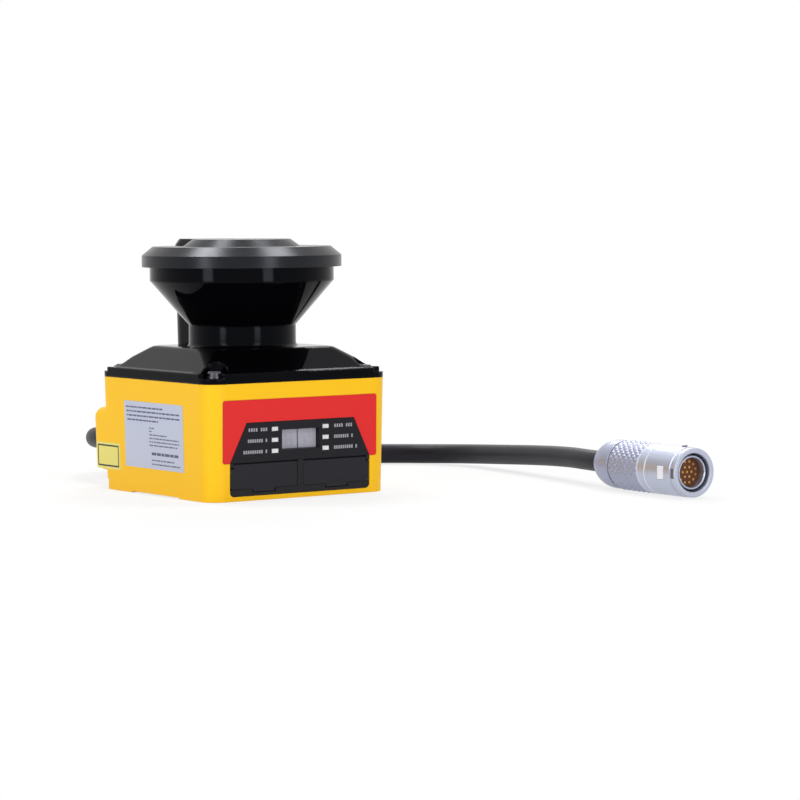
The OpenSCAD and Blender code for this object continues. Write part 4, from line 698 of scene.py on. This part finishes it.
# %% Captions beside the lights
print_white = finish("print_white", linear(158, 158, 166), 0.5, specular=0.2)
caption_inner, middle_row, row_step, set_back = 14.8, 21.85, 4.05, 0.045
letter_wide, letter_tall = 0.66, 1.25
letters_in_row = {1: (4, 3), 0: (7, 1), -1: (9, 1)}
upper_step, lower_step = 8.4 / 8, 10.6 / 11
letter_share = 0.7
spots = []
for side in (-1, 1):
    for row, words in letters_in_row.items():
        step = upper_step if row == 1 else lower_step
        count = sum(words) + 1
        row_length = (count - 1 + letter_share) * step
        start = caption_inner if side > 0 else -caption_inner - row_length
        for k in range(count):
            if k != words[0]:
                along = start + (k + letter_share / 2) * step
                spots.append((along, middle_row + row_step * row, letter_wide, letter_tall))
print_piece("captions", spots, lambda a, b: on_front_face(a, b, -set_back), print_white)

# %% [markdown]
# The silvery plate has thirteen rows of small print. Rows of equal blocks would look like a ruler, so a
# random number sets the length of each word. The generator has a fixed seed and so gives the same words
# every time. One taller row stands for the line that such plates set in larger type.

# %% Small print on the silvery plate
word_lengths = random.Random(4)
shortest_word, longest_word, word_gap, shortest_end = 1.0, 3.4, 0.45, 0.8
rows = [(19.4, 32.5, 27, 0.62), (19.0, 30.9, 38, 0.62), (19.0, 29.3, 39, 0.62), (18.6, 27.7, 23, 0.62),
        (2.8, 25.1, 3.6, 0.45), (2.8, 23.9, 2.7, 0.45), (2.8, 22.6, 12.5, 0.45), (2.8, 21.3, 21, 0.45),
        (2.8, 20.0, 22, 0.45), (2.8, 18.7, 20, 0.45), (1.4, 15.6, 20, 1.05), (1.4, 13.2, 16, 0.5),
        (1.4, 11.7, 20, 0.5)]
ink_above_wall = 0.125
spots = []
for start, height, length, tall in rows:
    done = 0.0
    while done < length - shortest_end:
        word = min(word_lengths.uniform(shortest_word, longest_word), length - done)
        spots.append((start - done - word / 2, height, word, tall))
        done += word + word_gap
print_grey = finish("print_grey", linear(96, 98, 124), 0.5, specular=0.2)
print_piece("plate_print", spots, lambda a, b: on_left_wall(a, b, ink_above_wall), print_grey,
            turn=-math.pi / 2)

# %% [markdown]
# The scanner stands on a pale floor that seems to have no edge. Near the object a quarter of what is seen
# is the floor's own surface, so that the object's shadow shows on it. Further out the floor glows plain
# white and melts into the background. The glow is only for eyes and mirrors, and lights nothing.

# %% Floor
def seen_share(tree):
    """1 for what is seen directly, in a mirror or through glass, and 0 for what only throws light."""
    path = tree.nodes.new("ShaderNodeLightPath").outputs
    seen = node(tree, "ShaderNodeMath", "MAXIMUM", i0=path["Is Camera Ray"], i1=path["Is Glossy Ray"])
    seen = node(tree, "ShaderNodeMath", "MAXIMUM", i0=seen.outputs[0], i1=path["Is Transmission Ray"])
    return seen.outputs[0]


bpy.ops.mesh.primitive_plane_add(size=8, location=(0, 0, -0.0001))
floor = bpy.context.object
floor.name = "floor"
floor_white = bpy.data.materials.new("floor_white")
floor_white.use_nodes = True
tree = floor_white.node_tree
surface = tree.nodes["Principled BSDF"]
surface.inputs["Base Color"].default_value = (0.9, 0.9, 0.9, 1)
surface.inputs["Roughness"].default_value = 0.9
surface.inputs["Specular IOR Level"].default_value = 0.1
glow = tree.nodes.new("ShaderNodeEmission")
blend = tree.nodes.new("ShaderNodeMixShader")
place = tree.nodes.new("ShaderNodeTexCoord").outputs["Object"]
away = node(tree, "ShaderNodeVectorMath", "LENGTH", i0=place).outputs["Value"]
fade = tree.nodes.new("ShaderNodeMapRange")
for label, value in {"From Min": 0.12, "From Max": 0.45, "To Min": 0.75, "To Max": 1.0}.items():
    fade.inputs[label].default_value = value
tree.links.new(away, fade.inputs["Value"])
share = node(tree, "ShaderNodeMath", "MULTIPLY", i0=seen_share(tree), i1=fade.outputs["Result"])
tree.links.new(share.outputs[0], blend.inputs[0])
tree.links.new(surface.outputs[0], blend.inputs[1])
tree.links.new(glow.outputs[0], blend.inputs[2])
tree.links.new(blend.outputs[0], tree.nodes["Material Output"].inputs["Surface"])
floor.data.materials.append(floor_white)
print("floor ready")

# %% [markdown]
# The world works the same way: it looks plain white, but lights the object with less than a third of that,
# so that colours render about as they are written.

# %% World
world_light = 0.3
world = bpy.data.worlds.new("studio")
bpy.context.scene.world = world
world.use_nodes = True
tree = world.node_tree
strength = tree.nodes.new("ShaderNodeMix")
strength.data_type = "FLOAT"
strength.inputs[2].default_value = world_light
strength.inputs[3].default_value = 1.0
tree.links.new(seen_share(tree), strength.inputs[0])
tree.nodes["Background"].inputs["Color"].default_value = (1, 1, 1, 1)
tree.links.new(strength.outputs[0], tree.nodes["Background"].inputs["Strength"])
print("world seen as white, and as a light of", world_light)

# %% [markdown]
# Black gloss shows little but the lamps it mirrors, so the lamps are placed for it. Two tall strips, left
# and right of the camera, draw the upright highlights on the neck, the cap and the plug. Two small lamps
# high at the back light the top faces, and a broad one behind the object keeps its far edges clear.

# %% Lamps
def softbox(name, place, aim, width, height, watts):
    """A rectangular soft lamp that faces a point."""
    lamp_data = bpy.data.lights.new(name, "AREA")
    lamp_data.shape = "RECTANGLE"
    lamp_data.size, lamp_data.size_y = width, height
    lamp_data.energy = watts
    lamp = bpy.data.objects.new(name, lamp_data)
    lamp.location = place
    lamp.rotation_euler = (Vector(aim) - Vector(place)).to_track_quat("-Z", "Y").to_euler()
    bpy.context.scene.collection.objects.link(lamp)


def around_object(turn, distance, height):
    """A place round the scanner: turn is measured from the camera's own side, positive to its right."""
    angle = view_turn - math.radians(turn)
    return (-math.sin(angle) * distance, -math.cos(angle) * distance, height)


softbox("left_strip", around_object(-39, 0.95, 0.44), (0, 0, 0.44), 0.2, 0.85, 3.8)
softbox("right_strip", around_object(35, 0.95, 0.44), (0, 0, 0.44), 0.2, 0.85, 3.5)
softbox("left_overhead", around_object(-128, 0.46, 1.17), (0, 0, 0.08), 0.25, 0.3, 4.8)
softbox("right_overhead", around_object(128, 0.46, 1.17), (0, 0, 0.08), 0.25, 0.3, 4.2)
softbox("back_fill", around_object(180, 1.1, 0.95), (0, 0, 0.05), 0.45, 0.5, 4.5)
bpy.context.scene.view_settings.view_transform = "Standard"
print("lamps ready")
